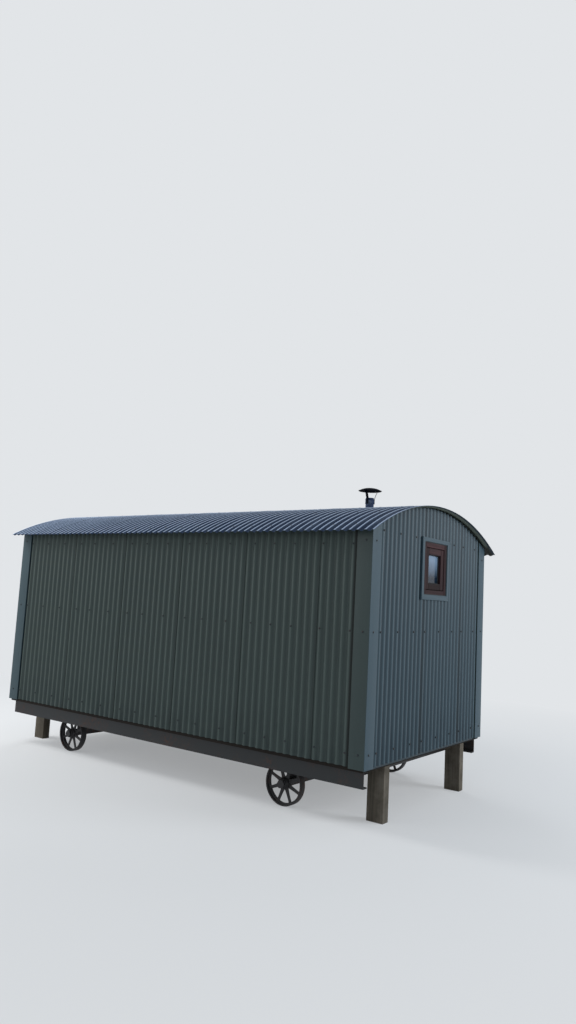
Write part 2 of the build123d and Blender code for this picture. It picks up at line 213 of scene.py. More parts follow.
class StageSettings(PropertyGroup):
    place: FloatVectorProperty(description="Where the camera stands", size=3, default=(5.532, -6.600, 1.833),
                               subtype="TRANSLATION", unit="LENGTH")
    turn: angle(36.55, "Turn of the view from straight ahead")
    tilt: angle(6.67, "How far the view looks up")
    roll: angle(3.06, "Roll of the view")
    lens: FloatProperty(description="Focal length in millimetres", default=26.14, min=1)
    floor: colour(226, 229, 232, "Studio floor")
    backdrop: colour(226, 229, 232, "Background that the camera sees")


class HutSettings(PropertyGroup):
    sheets: PointerProperty(type=SheetSizes)
    trims: PointerProperty(type=TrimSizes)
    screws: PointerProperty(type=ScrewSizes)
    joinery: PointerProperty(type=JoinerySizes)
    flue: PointerProperty(type=FlueSizes)
    wheels: PointerProperty(type=WheelSizes)
    colours: PointerProperty(type=FinishColours)
    stage: PointerProperty(type=StageSettings)


# Shapes: each is worked out as whole arrays of points and turned into closed shells

def points_at(x, y, z):
    """Points from their three coordinates, each a number or an array."""
    return np.stack(np.broadcast_arrays(x, y, z), axis=-1)


def points_round(axis, along, first, second):
    """Points from one coordinate along an axis and two across it."""
    across = [first, second]
    across.insert(axis, along)
    return points_at(*across)


def carried(stations, closed=False):
    """A section carried through its stations, an array of (stations, points, 3), and back to the first one
    where it is closed. Gives the points, the quads between them and the number of each point."""
    index = np.arange(stations[..., 0].size).reshape(stations.shape[:2])
    rows = np.concatenate([index, index[:1]]) if closed else index
    onward = np.roll(rows, -1, axis=1)
    quads = np.stack([rows[:-1], onward[:-1], onward[1:], rows[1:]], axis=-1).reshape(-1, 4)
    return stations.reshape(-1, 3), quads, index


def ribbon(stations):
    """A thin section carried through its stations. Its second half runs back opposite its first across the
    thickness, and a row of quads between the two closes each end."""
    points, quads, index = carried(stations)
    near, far = np.split(index[0], 2)
    far = far[::-1]
    cap = np.stack([near[:-1], far[:-1], far[1:], near[1:]], axis=-1)
    return points, [quads, cap, cap[:, ::-1] + index[-1, 0]]


def bar(stations):
    """A convex section carried through its stations, with flat ends."""
    points, quads, index = carried(stations)
    return points, [quads, index[:1, ::-1], index[-1:]]


def hoop(stations):
    """A section carried round a closed path."""
    points, quads, _ = carried(stations, closed=True)
    return points, [quads]


def volume(points, faces):
    """Six times the volume of a closed shell, with its sign: the sum over its triangles of a . (b x c)."""
    points = points - points.mean(axis=0)
    fans = [points[face[:, [0, k, k + 1]]] for face in faces for k in range(1, face.shape[1] - 1)]
    a, b, c = np.moveaxis(np.concatenate(fans), 1, 0)
    return np.sum(a * np.cross(b, c))


class Shells:
    """Closed shells that together make one piece, each turned so that its faces point outwards."""

    def __init__(self):
        self.points = []
        self.faces = []
        self.values = {}
        self.count = 0

    def add(self, shell, **values):
        """Adds a shell. Values are a number, or an array of one number or vector for each of its points."""
        points, faces = shell
        if volume(points, faces) < 0:
            faces = [face[:, ::-1] for face in faces]
        self.faces += [face + self.count for face in faces]
        self.points.append(points)
        for name, value in values.items():
            spread = np.broadcast_to(value, (len(points),) + np.shape(value)[1:])
            self.values.setdefault(name, []).append(spread)
        self.count += len(points)

    def member(self, low, high, axis, arris, steps=3, **values):
        """Adds a timber bar with its grain: the distance along and across the bar, shifted for each bar."""
        shell = soft_bar(low, high, axis, arris, steps)
        middle = (np.array(low) + np.array(high)) / 2
        shift = 7.3 * np.sin(1000 * middle @ np.array([1.0, 1.7, 2.3])) + 11
        order = [axis, *(k for k in range(3) if k != axis)]
        self.add(shell, grain=shell[0][:, order] + np.array([shift, shift * 3.1, -shift]), **values)

    def piece(self, name, material, slot, replaces=(), sharp=35):
        """One mesh object of all the shells, with its seams welded, riding on the hut."""
        points = np.concatenate(self.points)
        mesh = bpy.data.meshes.new(name)
        mesh.vertices.add(len(points))
        mesh.vertices.foreach_set("co", points.astype(np.float32).ravel())
        corner_list = np.concatenate([face.ravel() for face in self.faces])
        sizes = np.concatenate([np.full(len(face), face.shape[1]) for face in self.faces])
        mesh.loops.add(len(corner_list))
        mesh.loops.foreach_set("vertex_index", corner_list.astype(np.int32))
        mesh.polygons.add(len(sizes))
        mesh.polygons.foreach_set("loop_start", (np.cumsum(sizes) - sizes).astype(np.int32))
        mesh.update(calc_edges=True)
        for key, arrays in self.values.items():
            value = np.concatenate(arrays).astype(np.float32)
            kind, field = ("FLOAT_VECTOR", "vector") if value.ndim == 2 else ("FLOAT", "value")
            mesh.attributes.new(key, kind, "POINT").data.foreach_set(field, value.ravel())
        if mesh.validate(verbose=False):
            raise RuntimeError(name + " has broken faces")
        mesh.shade_smooth()
        mesh.set_sharp_from_angle(angle=math.radians(sharp))
        mesh.materials.append(material)
        piece = bpy.data.objects.new(name, mesh)
        bpy.context.scene.collection.objects.link(piece)
        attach(piece, "root")
        if replaces:
            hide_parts(*replaces)


def rounded_rectangle(half_a, half_b, radius, steps=3):
    """Points round a rectangle with quarter circles at its corners, in order, as two arrays."""
    turn = np.linspace(0, np.pi / 2, steps + 1)
    turns = (np.arange(4)[:, None] * np.pi / 2 + turn).ravel()
    sign_a = np.repeat([1, -1, -1, 1], steps + 1)
    sign_b = np.repeat([1, 1, -1, -1], steps + 1)
    cos, sin = radius * np.cos(turns), radius * np.sin(turns)
    return sign_a * (half_a - radius) + cos, sign_b * (half_b - radius) + sin


def soft_bar(low, high, axis, arris, steps=3):
    """A bar between two corners: a rectangle with rounded corners carried along an axis and drawn in by the
    arris at each end."""
    low, high = np.array(low), np.array(high)
    p, q = (k for k in range(3) if k != axis)
    middle, half = (low + high) / 2, (high - low) / 2
    along = np.array([low[axis], low[axis] + arris, high[axis] - arris, high[axis]])
    inset = np.array([[arris * 0.999], [0], [0], [arris * 0.999]])
    a, b = rounded_rectangle(half[p], half[q], arris, steps)
    return bar(points_round(axis, along[:, None], middle[p] + (half[p] - inset) / half[p] * a,
                            middle[q] + (half[q] - inset) / half[q] * b))


def turned(radius, level, centre=(0, 0, 0), axis=2, segments=48):
    """A surface of revolution: the closed section (radius, level) carried round an axis through the
    centre."""
    turn = 2 * np.pi * np.arange(segments)[:, None] / segments
    middle = list(centre)
    along = middle.pop(axis) + np.array(level)
    first, second = middle[0] + np.cos(turn) * radius, middle[1] + np.sin(turn) * radius
    return hoop(points_round(axis, along, first, second))


def mitred(half, low, high, widths, out, depth, side=1):
    """A frame round an opening in an end wall: each point of the section, given by its share out from the
    opening and its place in depth, makes a rectangle, and the section runs round the four mitred
    corners."""
    beside, above, below = (np.multiply(out, width) for width in widths)
    y, top, bottom = half + beside, high + above, low - below
    levels = np.stack([bottom, bottom, top, top])
    return hoop(points_at(side * np.array(depth), np.stack([-y, y, y, -y]), levels))


def folded(points, radius, gauge, steps=4):
    """A folded sheet's section: straight runs whose corners are rounded, corner + (1 - t) squared back + t
    squared ahead, and then, reversed, the same path moved by one gauge to its left."""
    points = np.array(points)
    back, ahead = (run / np.linalg.norm(run, axis=1, keepdims=True)
                   for run in (points[:-2] - points[1:-1], points[2:] - points[1:-1]))
    t = np.linspace(0, 1, steps + 1)[None, :, None]
    bends = points[1:-1, None] + radius * ((1 - t) ** 2 * back[:, None] + t ** 2 * ahead[:, None])
    path = np.concatenate([points[:1], bends.reshape(-1, 2), points[-1:]])
    along = np.gradient(path, axis=0)
    along /= np.linalg.norm(along, axis=1, keepdims=True)
    left = np.stack([-along[:, 1], along[:, 0]], axis=-1)
    return np.concatenate([path, (path + gauge * left)[::-1]])


def planted(shells, shape, places, normals):
    """Copies of one shape at many places: every place gets the shape's points turned so that Z looks along
    its normal, worked out as one array of (places, points, 3)."""
    points, faces = shape
    normals = np.broadcast_to(np.array(normals, float), np.shape(places))
    normals = normals / np.linalg.norm(normals, axis=1, keepdims=True)
    helper = np.where(np.abs(normals[:, 2:]) > 0.9, [[1.0, 0, 0]], [[0, 0, 1.0]])
    side = np.cross(helper, normals)
    side /= np.linalg.norm(side, axis=1, keepdims=True)
    basis = np.stack([side, np.cross(normals, side), normals], axis=1)
    everywhere = np.einsum("pk,nkj->npj", points, basis) + np.array(places, float)[:, None]
    base = (np.arange(len(places)) * len(points))[:, None, None]
    all_faces = [(face[None] + base).reshape(-1, face.shape[1]) for face in faces]
    shells.add((everywhere.reshape(-1, 3), all_faces))


# Finishes: shader sums are written as Python sums

def operator(operation, swapped=False):
    """A method that adds one Math node, for a Python operator or for its reflected form."""
    return lambda self, other: self.sum(operation, *((other, self) if swapped else (self, other)))


class Wire:
    """A shader socket. Sums on it add Math nodes to its graph."""

    def __init__(self, graph, socket):
        self.graph = graph
        self.socket = socket

    def sum(self, operation, *values, clamp=False):
        return self.graph.node("ShaderNodeMath", {"operation": operation, "use_clamp": clamp}, values)

    __add__ = __radd__ = operator("ADD")
    __mul__ = __rmul__ = operator("MULTIPLY")
    __sub__, __rsub__ = operator("SUBTRACT"), operator("SUBTRACT", swapped=True)
    __truediv__, __rtruediv__ = operator("DIVIDE"), operator("DIVIDE", swapped=True)
    __pow__, __rpow__ = operator("POWER"), operator("POWER", swapped=True)

    def __abs__(self):
        return self.sum("ABSOLUTE", self)

    def cos(self):
        return self.sum("COSINE", self)

    def clamp(self):
        return self.sum("ADD", self, 0, clamp=True)

    def over(self, low, high):
        """0 below low and 1 above high, with an even slope between."""
        return ((self - low) / (high - low)).clamp()


class Graph:
    """A node tree."""

    def __init__(self, tree):
        self.tree = tree

    def node(self, kind, settings, sockets, output=0):
        """Adds a node: its settings first, then the values or links of its sockets, by place or by
        identifier."""
        def find(group, key):
            return group[key] if isinstance(key, int) else next(s for s in group if s.identifier == key)

        node = self.tree.nodes.new(kind)
        for key, value in settings.items():
            setattr(node, key, value)
        for key, value in sockets.items() if isinstance(sockets, dict) else enumerate(sockets):
            socket = find(node.inputs, key)
            if isinstance(value, Wire):
                self.tree.links.new(value.socket, socket)
            else:
                socket.default_value = (*value, 1.0) if socket.type == "RGBA" else value
        return Wire(self, find(node.outputs, output))

    def show(self, share, first, second, output):
        """Sends two shaders to the output. Rays from the camera, gloss and glass see that share of the
        second."""
        camera, gloss, glass = (self.node("ShaderNodeLightPath", {}, (), f"Is {kind} Ray")
                                for kind in ("Camera", "Glossy", "Transmission"))
        seen = (camera + gloss + glass).clamp() * share
        blend = self.node("ShaderNodeMixShader", {}, (seen, Wire(self, first.outputs[0]), second))
        self.tree.links.new(blend.socket, self.tree.nodes[output].inputs["Surface"])


class Finish(Graph):
    """A material built from a Principled shader, with its constants set on the shader's own sockets."""

    def __init__(self, name, **constants):
        self.material = bpy.data.materials.new(name)
        self.material.use_nodes = True
        super().__init__(self.material.node_tree)
        self.shader = self.tree.nodes["Principled BSDF"]
        for key, value in constants.items():
            self.shader.inputs[key.replace("_", " ")].default_value = value
        self.place = self.node("ShaderNodeTexCoord", {}, (), "Object")

    def attribute(self, name, output="Fac"):
        """A value that the mesh carries."""
        return self.node("ShaderNodeAttribute", {"attribute_name": name}, (), output)

    def coordinates(self):
        """The three object coordinates."""
        first = self.node("ShaderNodeSeparateXYZ", {}, (self.place,))
        return [Wire(self, socket) for socket in first.socket.node.outputs]

    def noise(self, scale, detail=3.0, roughness=0.5, place=None):
        """Smooth noise between 0 and 1, with one scale or one for each axis."""
        place = place or self.place
        if np.ndim(scale):
            place, scale = self.node("ShaderNodeVectorMath", {"operation": "MULTIPLY"}, (place, scale)), 1.0
        return self.node("ShaderNodeTexNoise", {}, {"Vector": place, "Scale": scale, "Detail": detail,
                                                    "Roughness": roughness})

    def mix(self, factor, first, second):
        """The first colour where the factor is 0 and the second where it is 1."""
        return self.node("ShaderNodeMix", {"data_type": "RGBA"},
                         {"Factor_Float": factor, "A_Color": first, "B_Color": second}, "Result_Color")

    def tint(self, shade, amount):
        """A colour made lighter or darker by a number around 1."""
        return self.node("ShaderNodeVectorMath", {"operation": "SCALE"}, {"Vector": shade, "Scale": amount})

    def done(self, shade, roughness, height=None, strength=1.0, **others):
        """Links the colour, the roughness, others by name and a bump from a height in metres."""
        links = {"Base Color": shade, "Roughness": roughness, **others}
        if height:
            links["Normal"] = self.node("ShaderNodeBump", {}, {"Strength": strength, "Distance": 1.0,
                                                               "Height": height})
        for key, wire in links.items():
            self.tree.links.new(wire.socket, self.shader.inputs[key])
        return self.material


def times(shade, amount):
    """A colour times one amount, or times one for each channel."""
    return np.multiply(shade, amount)


def sheet_paint(name, shade, axis, pitch, painted_relief):
    """Painted corrugated sheet: a soft uneven colour, painted shade that darkens and cools the valleys, a
    painted highlight on the ridges, run marks that gather in the valleys, splashes at the foot, and painted
    shadow where the mesh carries it."""
    finish = Finish(name, Specular_IOR_Level=0.32)
    numbers = finish.coordinates()
    cloud = finish.noise(1.3, 4.0)
    valley = (1 + (numbers[axis] * (2 * math.pi / pitch)).cos()) * 0.5
    runs = finish.noise((34, 34, 0.9), 4.0, 0.6)
    grime = finish.noise((9, 9, 3), 5.0, 0.65)
    # Painted shade: the valleys are darkened as if shade lay in them, more on the end walls; the run marks in
    # the valleys are dirt.
    dirt_and_valley_shade = runs.over(0.48, 0.80) * valley.over(0.15, 0.9) * 0.30 + valley.over(0.10, 0.62) * painted_relief
    foot_dirt = (1 - numbers[2].over(CLAD_FOOT, CLAD_FOOT + 0.42)) * grime.over(0.35, 0.75) * 0.5
    # The dark colour, cooler and bluer than the paint, serves for the painted valley shade and for the dirt.
    dirty_and_shaded = finish.mix((dirt_and_valley_shade + foot_dirt).clamp(), finish.tint(shade, 0.90 + cloud * 0.20),
                       times(shade, (0.26, 0.32, 0.38)))
    # Painted highlight: the ridges are lightened, more on the end walls, with light run marks as well.
    ridge_highlight_and_runs = ((1 - valley.over(0.0, 0.16)) * (0.06 + painted_relief * 0.22) + runs.over(0.62, 0.9) * 0.08).clamp()
    # The ridges take the painted highlight over the dirt and the painted shade.
    bloom = finish.mix(ridge_highlight_and_runs, dirty_and_shaded, np.minimum(1, times(shade, 1.9) + 0.02))
    # Painted shadow: the sheet goes to a tenth of its shade where the mesh carries painted shadow, along laps
    # and beside trim edges.
    return finish.done(finish.mix(finish.attribute("seam"), bloom, times(shade, 0.10)),
                       0.44 + cloud * 0.12 + foot_dirt * 0.3,
                       finish.noise(900.0, 2.0) * 0.00004 + finish.noise((3, 3, 1.2), 2.0) * 0.0022)


def trim_paint(name, across, along, streaks=1.0):
    """Painted folded sheet: even colour with faint run marks. Faces that look along the hut take a lighter,
    bluer copy of the paint than faces that look across it, a painted light; the facing value that the mesh
    carries mixes the two."""
    finish = Finish(name, Specular_IOR_Level=0.32)
    cloud = finish.noise(2.1, 4.0)
    runs = finish.noise((60, 60, 1.3), 4.0, 0.6)
    grime = finish.noise((14, 14, 5), 5.0, 0.65)
    # Painted light: the facing value mixes the shaded copy for faces across the hut with the lit copy for
    # faces along it.
    shade = finish.tint(finish.mix(finish.attribute("facing"), across, along), 0.93 + cloud * 0.14)
    mask = (runs.over(0.52, 0.85) * 0.22 + grime.over(0.58, 0.86) * 0.20) * streaks
    return finish.done(finish.mix(mask.clamp(), shade, times(across, 0.55)), 0.42 + cloud * 0.10,
                       finish.noise((5, 5, 2), 2.0) * 0.0012)


def roof_paint(name, colours, pitch):
    """Weathered roof sheet: a painted reflection of a blue sky, with painted highlights on the ridges and
    painted shade in the valleys, lichen, run marks along the arch, and a plain underside with painted shade
    over the eaves, by the walls and along its outer edge."""
    finish = Finish(name, Specular_IOR_Level=0.16)
    numbers = finish.coordinates()
    under = finish.attribute("underside")
    valley = (1 - (numbers[0] * (2 * math.pi / pitch)).cos()) * 0.5
    runs = finish.noise((30, 2.2, 2.2), 4.0, 0.6)
    cloud = finish.noise(1.7, 5.0, 0.6)
    # Painted reflection: the valleys go to the dark navy painted shade and the ridges stay pale blue as
    # painted highlights.
    deep = (valley.over(0.03, 0.20) * (0.78 + runs * 0.4)).clamp()
    shade = finish.mix(deep, finish.tint(colours.roof, 0.84 + cloud * 0.32), colours.roof_valley_shade)
    spots = finish.noise(46.0, 4.0, 0.7).over(0.66, 0.74) * cloud.over(0.45, 0.62) * 0.35
    shade = finish.mix(spots, shade, colours.lichen)
    # Painted shade under the eaves: the underside goes near black over the long walls.
    eaves = abs(numbers[1]).over(HALF_WIDTH - 0.08, HALF_WIDTH - 0.02)
    below = finish.mix(eaves * 0.9, colours.soffit, times(colours.soffit, 0.12))
    # Painted shade by the end walls: the underside is darker out to 6 mm past their line, fading out by 34
    # mm.
    gap = 1 - abs(numbers[0]).over(HALF_LENGTH + 0.006, HALF_LENGTH + 0.034)
    below = finish.mix(gap * 0.75, below, times(colours.soffit, 0.15))
    # Painted shade along the verge: the outer edge of the underside goes dark navy.
    verge_shade = abs(numbers[0]).over(ROOF_REACH - 0.030, ROOF_REACH - 0.020)
    below = finish.mix(verge_shade * 0.9, below, colours.verge_shade)
    return finish.done(finish.mix(under, shade, below), 0.40 + runs * 0.16 + valley * 0.25,
                       finish.noise(700.0, 2.0) * 0.00005 + cloud * 0.0016,
                       Metallic=(1 - under) * (1 - deep) * 0.12)


def timber(name, light, dark, coarse=1.0, gloss=0.5, axis=None, silver=0.0, bleached=None):
    """Timber: long streaks of grain in two shades with fine pores, made lighter or darker by the painted
    light and shade that each member carries. It reads the grain that the piece carries, or object coordinates
    turned so that the grain runs along an axis."""
    finish = Finish(name, Specular_IOR_Level=0.14)
    if axis is None:
        place = finish.attribute("grain", "Vector")
    else:
        numbers = finish.coordinates()
        place = finish.node("ShaderNodeCombineXYZ", {}, numbers[axis:] + numbers[:axis])
    bend = finish.noise((1.6, 6, 6), 2.0, place=place) * 0.018
    bent = finish.node("ShaderNodeVectorMath", {"operation": "ADD"},
                       (place, finish.node("ShaderNodeCombineXYZ", {}, (0.0, bend, bend))))
    streaks = finish.noise((2.4 * coarse, 70 * coarse, 70 * coarse), 4.0, 0.62, bent)
    rings = finish.noise((0.9, 19 * coarse, 19 * coarse), 2.0, place=bent)
    pores = finish.noise((26, 620, 620), 2.0, place=place)
    shade = finish.mix((streaks.over(0.32, 0.70) * 0.65 + rings.over(0.35, 0.68) * 0.45).clamp(), dark, light)
    shade = finish.mix(pores.over(0.56, 0.75) * 0.35, shade, times(dark, 0.6))
    # Painted light and shade: each member is made lighter or darker by the value it carries.
    shade = finish.tint(shade, 1 + finish.attribute("tone"))
    if silver:
        worn = finish.noise(5.0, 4.0, 0.6, place)
        shade = finish.mix(worn.over(0.42, 0.72) * silver, shade, bleached)
    return finish.done(shade, gloss + streaks * 0.18, streaks * 0.0007 + pores * 0.00025, 0.8)


def painted_steel(name, shade, rust, wear, metallic=0.0, gloss=0.48, cast=0.0):
    """Painted or cast metal with rust that breaks through in patches and a skin of fine pits."""
    finish = Finish(name, Specular_IOR_Level=0.45, Metallic=metallic)
    cloud = finish.noise(3.1, 5.0, 0.6)
    spots = finish.noise(26.0, 6.0, 0.7)
    rusty = (cloud.over(0.46, 0.66) * spots.over(0.44, 0.62)).clamp() * wear
    base = finish.tint(shade, 0.80 + cloud * 0.40)
    return finish.done(finish.mix(rusty, base, finish.tint(rust, 0.6 + spots * 0.8)),
                       gloss + rusty * 0.35 + cloud * 0.08,
                       finish.noise(320.0, 3.0, 0.6) * (0.00012 + cast * 0.0005) + rusty * 0.0004, 0.8)


def flue_finish(name, shade, gloss, worn, colours):
    """Blackened steel: a dull bluish black, browner and rougher in heat marks, and paler in patches that are
    painted highlights."""
    finish = Finish(name, Specular_IOR_Level=gloss)
    cloud = finish.noise((6, 6, 14), 4.0, 0.6)
    specks = finish.noise(240.0, 3.0, 0.6)
    patches = finish.noise((15, 15, 26), 3.0, 0.6)
    # Painted highlight: pale patches, as much as the share given for them.
    base = finish.mix(patches.over(0.50, 0.66) * worn, finish.tint(shade, 0.60 + cloud * 0.8),
                      colours.pale_steel_highlight)
    return finish.done(finish.mix(cloud.over(0.58, 0.78) * 0.25, base, colours.burnt_steel),
                       0.60 + cloud * 0.2 + specks * 0.08, specks * 0.00012, 0.7)


def glass_finish(name, colours, foot, top):
    """Window glass over a dim room: a painted reflection of the sky, pale above and falling to a dark shade
    below, a film of dust, and a clear hard gloss."""
    finish = Finish(name, IOR=1.5, Specular_IOR_Level=0.28, Transmission_Weight=0.12)
    drift = finish.noise((3, 5, 9), 3.0)
    rise = ((finish.coordinates()[2] - foot) / (top - foot) + (drift - 0.5) * 0.30).over(0.18, 0.86)
    dust = finish.noise(60.0, 4.0, 0.6)
    # Painted reflection: the pale sky shade above falls to the dark shade below.
    shade = finish.mix(rise, colours.glass_low, colours.glass_high)
    return finish.done(finish.mix(dust.over(0.5, 0.8) * 0.12, shade, colours.dust), 0.04 + dust * 0.08)


def dark_rubber(name, shade):
    """Rubber of the washers and the gasket, with a dusty bloom."""
    finish = Finish(name, Specular_IOR_Level=0.3)
    dust = finish.noise(180.0, 4.0, 0.6)
    return finish.done(finish.mix(dust.over(0.45, 0.8) * 0.4, shade, times(shade, 2.2)), 0.62 + dust * 0.2)


# Pieces

Run = namedtuple("Run", "u low high lapped covered")


def wave(u, pitch, depth):
    """Depth below the ridges: -depth (1 + cos(2 pi u / pitch)) / 2, so that whole pitches are valleys."""
    return -depth * (1 + np.cos(2 * np.pi * u / pitch)) / 2


def sheet_runs(reach, pitch, first, sheets):
    """The sheets between -reach and reach, which meet at first and at each cover from there. A sheet starts
    one wave under its neighbour: it is covered there, and its neighbour is lapped over it."""
    laps = np.arange(first, reach, sheets.cover * pitch)
    laps = laps[(laps > -reach + pitch / 4) & (laps < reach - pitch / 4)]
    edges = np.concatenate([[-reach], laps, [reach]])
    for k, high in enumerate(edges[1:]):
        low = edges[k] - (pitch if k else 0)
        steps = round((high - low) / pitch * sheets.columns) + 1
        yield Run(np.linspace(low, high, steps), low, high, lapped=k < len(laps), covered=k > 0)


def lap(run, u, pitch, gauge, lift):
    """How far a sheet stands off: it rises by one gauge over the last two waves before an edge that laps
    over the next sheet, and that edge springs off a little more."""
    near = np.clip(1 - (run.high - u) / (2 * pitch), 0, 1)
    return run.lapped * (near * near * (3 - 2 * near) * gauge * 1.1 + lift * near ** 6)


def upright_sheet(run, u, sheets, low, high):
    """One upright sheet: out = wave(u) + lap(u), and the back one gauge behind, between two levels that may
    follow u. It faces minus Y, with its ridges at y = 0."""
    front = wave(u, sheets.pitch, sheets.depth) + lap(run, u, sheets.pitch, sheets.gauge, sheets.lift)
    return ribbon(points_at(u[:, None], np.array([0, 0, sheets.gauge, sheets.gauge]) - front[:, None],
                            np.stack(np.broadcast_arrays(low, high, high, low), axis=-1)))


def painted_lap_shadow(points, run, pitch, foot_shade, top_shade):
    """Painted shadow along a lap: how dark a sheet is painted, full within a tenth of a wave of its own free
    edge and of where its neighbour's edge rests on it, falling to 0 at a quarter of a wave, and going from
    one shade at the foot to another 1.9 m up."""
    own = np.abs(points[:, 0] - run.high) + (not run.lapped)
    under = np.abs(points[:, 0] - (run.low + pitch)) + (not run.covered)
    near = np.clip((0.25 - np.minimum(own, under) / pitch) / 0.15, 0, 1)
    return near * (foot_shade + (top_shade - foot_shade) * np.clip((points[:, 2] - CLAD_FOOT) / 1.9, 0, 1))


def under_roof(y, sheets, clear=0.0004):
    """Height of the underside of the roof's valleys over y: centre + sqrt(radius squared - y squared)."""
    radius = sheets.radius - sheets.depth - sheets.gauge - clear
    return CREST - sheets.radius + np.sqrt(radius ** 2 - np.square(y))


def frame_bars(shells, depth, opening, side, sill, arris, painted_lights, thinner=(0, 0), gap=0.0, steps=3):
    """A rectangular frame in an end wall: two stiles and, between them, a thinner head and foot rail. Depth
    is its reach in x, and the opening is its half width, foot and head."""
    half, foot, head = opening
    inner, rails = half - side, half - side - gap
    rail_depth = (depth[0] + thinner[0], depth[1] - thinner[1])
    # Each bar carries a value of painted light or shade: left stile, right stile, head and foot.
    for (x0, x1), y0, y1, z0, z1, axis, tone in (
        (depth, -half, -inner, foot, head, 2, painted_lights[0]),
        (depth, inner, half, foot, head, 2, painted_lights[1]),
        (rail_depth, -rails, rails, head - side, head, 1, painted_lights[2]),
        (rail_depth, -rails, rails, foot, foot + sill, 1, painted_lights[3]),
    ):
        shells.member((x0, y0, z0), (x1, y1, z1), axis, arris, steps, tone=tone)


def opening_of(low, high, play=0.0):
    """The half width, foot and head of a piece in an end wall, with some play all round."""
    return high[1] - play, low[2] + play, high[2] - play


def flashing(where, side, hut):
    """The folded flashing round an opening: its section goes out at the back, forward from a turned-back
    outer edge, in across its face with rounded folds, and back at the opening, and it is carried round the
    mitred corners."""
    low, high = corners(f"{where}_flashing")
    half, foot, head = opening_of(*corners(f"{where}_frame"), play=-0.0003)
    near, far = sorted((abs(low[0]), abs(high[0])))
    reach, fold, turned_back = 0.05, 0.0020, near - hut.joinery.flash_return
    t = np.linspace(0, np.pi / 2, 5)
    out = np.concatenate([[0, 0.97, 0.97, 1], 1 - reach * (1 - np.cos(t)), reach * (1 - np.sin(t))])
    depth = np.concatenate([[near, near, turned_back, turned_back], far - fold * (1 - np.sin(t)),
                            far - fold * (1 - np.cos(t))])
    shells = Shells()
    widths = (high[1] - half, high[2] - head, foot - low[2])
    shells.add(mitred(half, foot, head, widths, out, depth, side), facing=1.0)
    shade = hut.colours.end_trim_lit
    paint = trim_paint(f"{where}_flashing_paint", times(shade, 0.8), shade, 1.3)
    shells.piece(f"folded_{where}_flashing", paint, "trim_paint", [f"{where}_flashing"])


class Maker:
    """What every operator here does: it makes its pieces from the hut's settings."""

    def execute(self, context):
        self.make(context.scene.hut)
        return {"FINISHED"}


class HUT_OT_side_sheets(Maker, Operator):
    """Clad both long walls with upright corrugated sheets"""
    bl_idname = "hut.side_sheets"
    bl_label = "Side sheets"

    def make(self, hut):
        sheets, pitch = hut.sheets, hut.sheets.pitch
        reach = corners("cladding_left")[1][0]
        face = HALF_WIDTH - sheets.behind
        first = -reach + pitch + sheets.cover * pitch
        paint = sheet_paint("side_sheet_paint", hut.colours.side_paint_shaded, 0, pitch, 0.24)
        for side, name in ((1, "left"), (-1, "right")):
            shells = Shells()
            for run in sheet_runs(reach, pitch, first, sheets):
                points, faces = upright_sheet(run, run.u, sheets, CLAD_FOOT, under_roof(face, sheets))
                beside = HALF_LENGTH - hut.trims.leg - np.abs(points[:, 0])
                # Painted shadow along the laps, and in a strip beside the corner trims' inner edges, full
                # within 22 mm of them and gone at 30 mm.
                seam = np.maximum(painted_lap_shadow(points, run, pitch, 0.22, 0.12),
                                  0.85 * np.clip((0.030 - np.abs(beside)) / 0.008, 0, 1))
                shells.add((points * [side, side, 1] - np.array([0, side * face, 0]), faces), seam=seam)
            shells.piece(f"side_sheets_{name}", paint, "sheet_paint", [f"cladding_{name}"])


class HUT_OT_end_sheets(Maker, Operator):
    """Clad both end walls with upright sheets that are cut to the arch and round the window and the door"""
    bl_idname = "hut.end_sheets"
    bl_label = "End sheets"

    def make(self, hut):
        sheets, pitch = hut.sheets, hut.sheets.pitch
        reach = corners("cladding_window_end")[1][1]
        # Painted shade in the valleys and painted highlight on the ridges are stronger on the end walls than
        # on the long walls.
        paint = sheet_paint("end_sheet_paint", hut.colours.end_paint_lit, 1, pitch, 0.62)
        for side, where in ((1, "window"), (-1, "door")):
            half, foot, head = opening_of(*corners(f"{where}_frame"))
            shells = Shells()
            for run in sheet_runs(reach, pitch, -2.75 * pitch, sheets):
                u = run.u
                left, right = cuts = np.clip([-half, half], u[0], u[-1])
                ends = cuts if left < right else cuts[:0]
                across = np.unique(np.append(u[(u >= left) & (u <= right)], ends))
                for part, low, high in (
                    (np.append(u[u < left], ends[:1]), CLAD_FOOT, None),
                    (across, CLAD_FOOT, foot),
                    (across, head, None),
                    (np.append(ends[1:], u[u > right]), CLAD_FOOT, None),
                ):
                    top = under_roof(part, sheets) if high is None else high
                    if len(part) > 1 and np.max(top) > low + 0.001:
                        points, faces = upright_sheet(run, part, sheets, low, top)
                        x, y, z = points.T
                        # Painted shadow along the laps, stronger at the foot.
                        seam = painted_lap_shadow(points, run, pitch, 0.58, 0.26)
                        face = HALF_LENGTH - sheets.behind - y
                        shells.add((points_at(side * face, side * x, z), faces), seam=seam)
            shells.piece(f"end_sheets_{where}_end", paint, "sheet_paint", [f"cladding_{where}_end"])


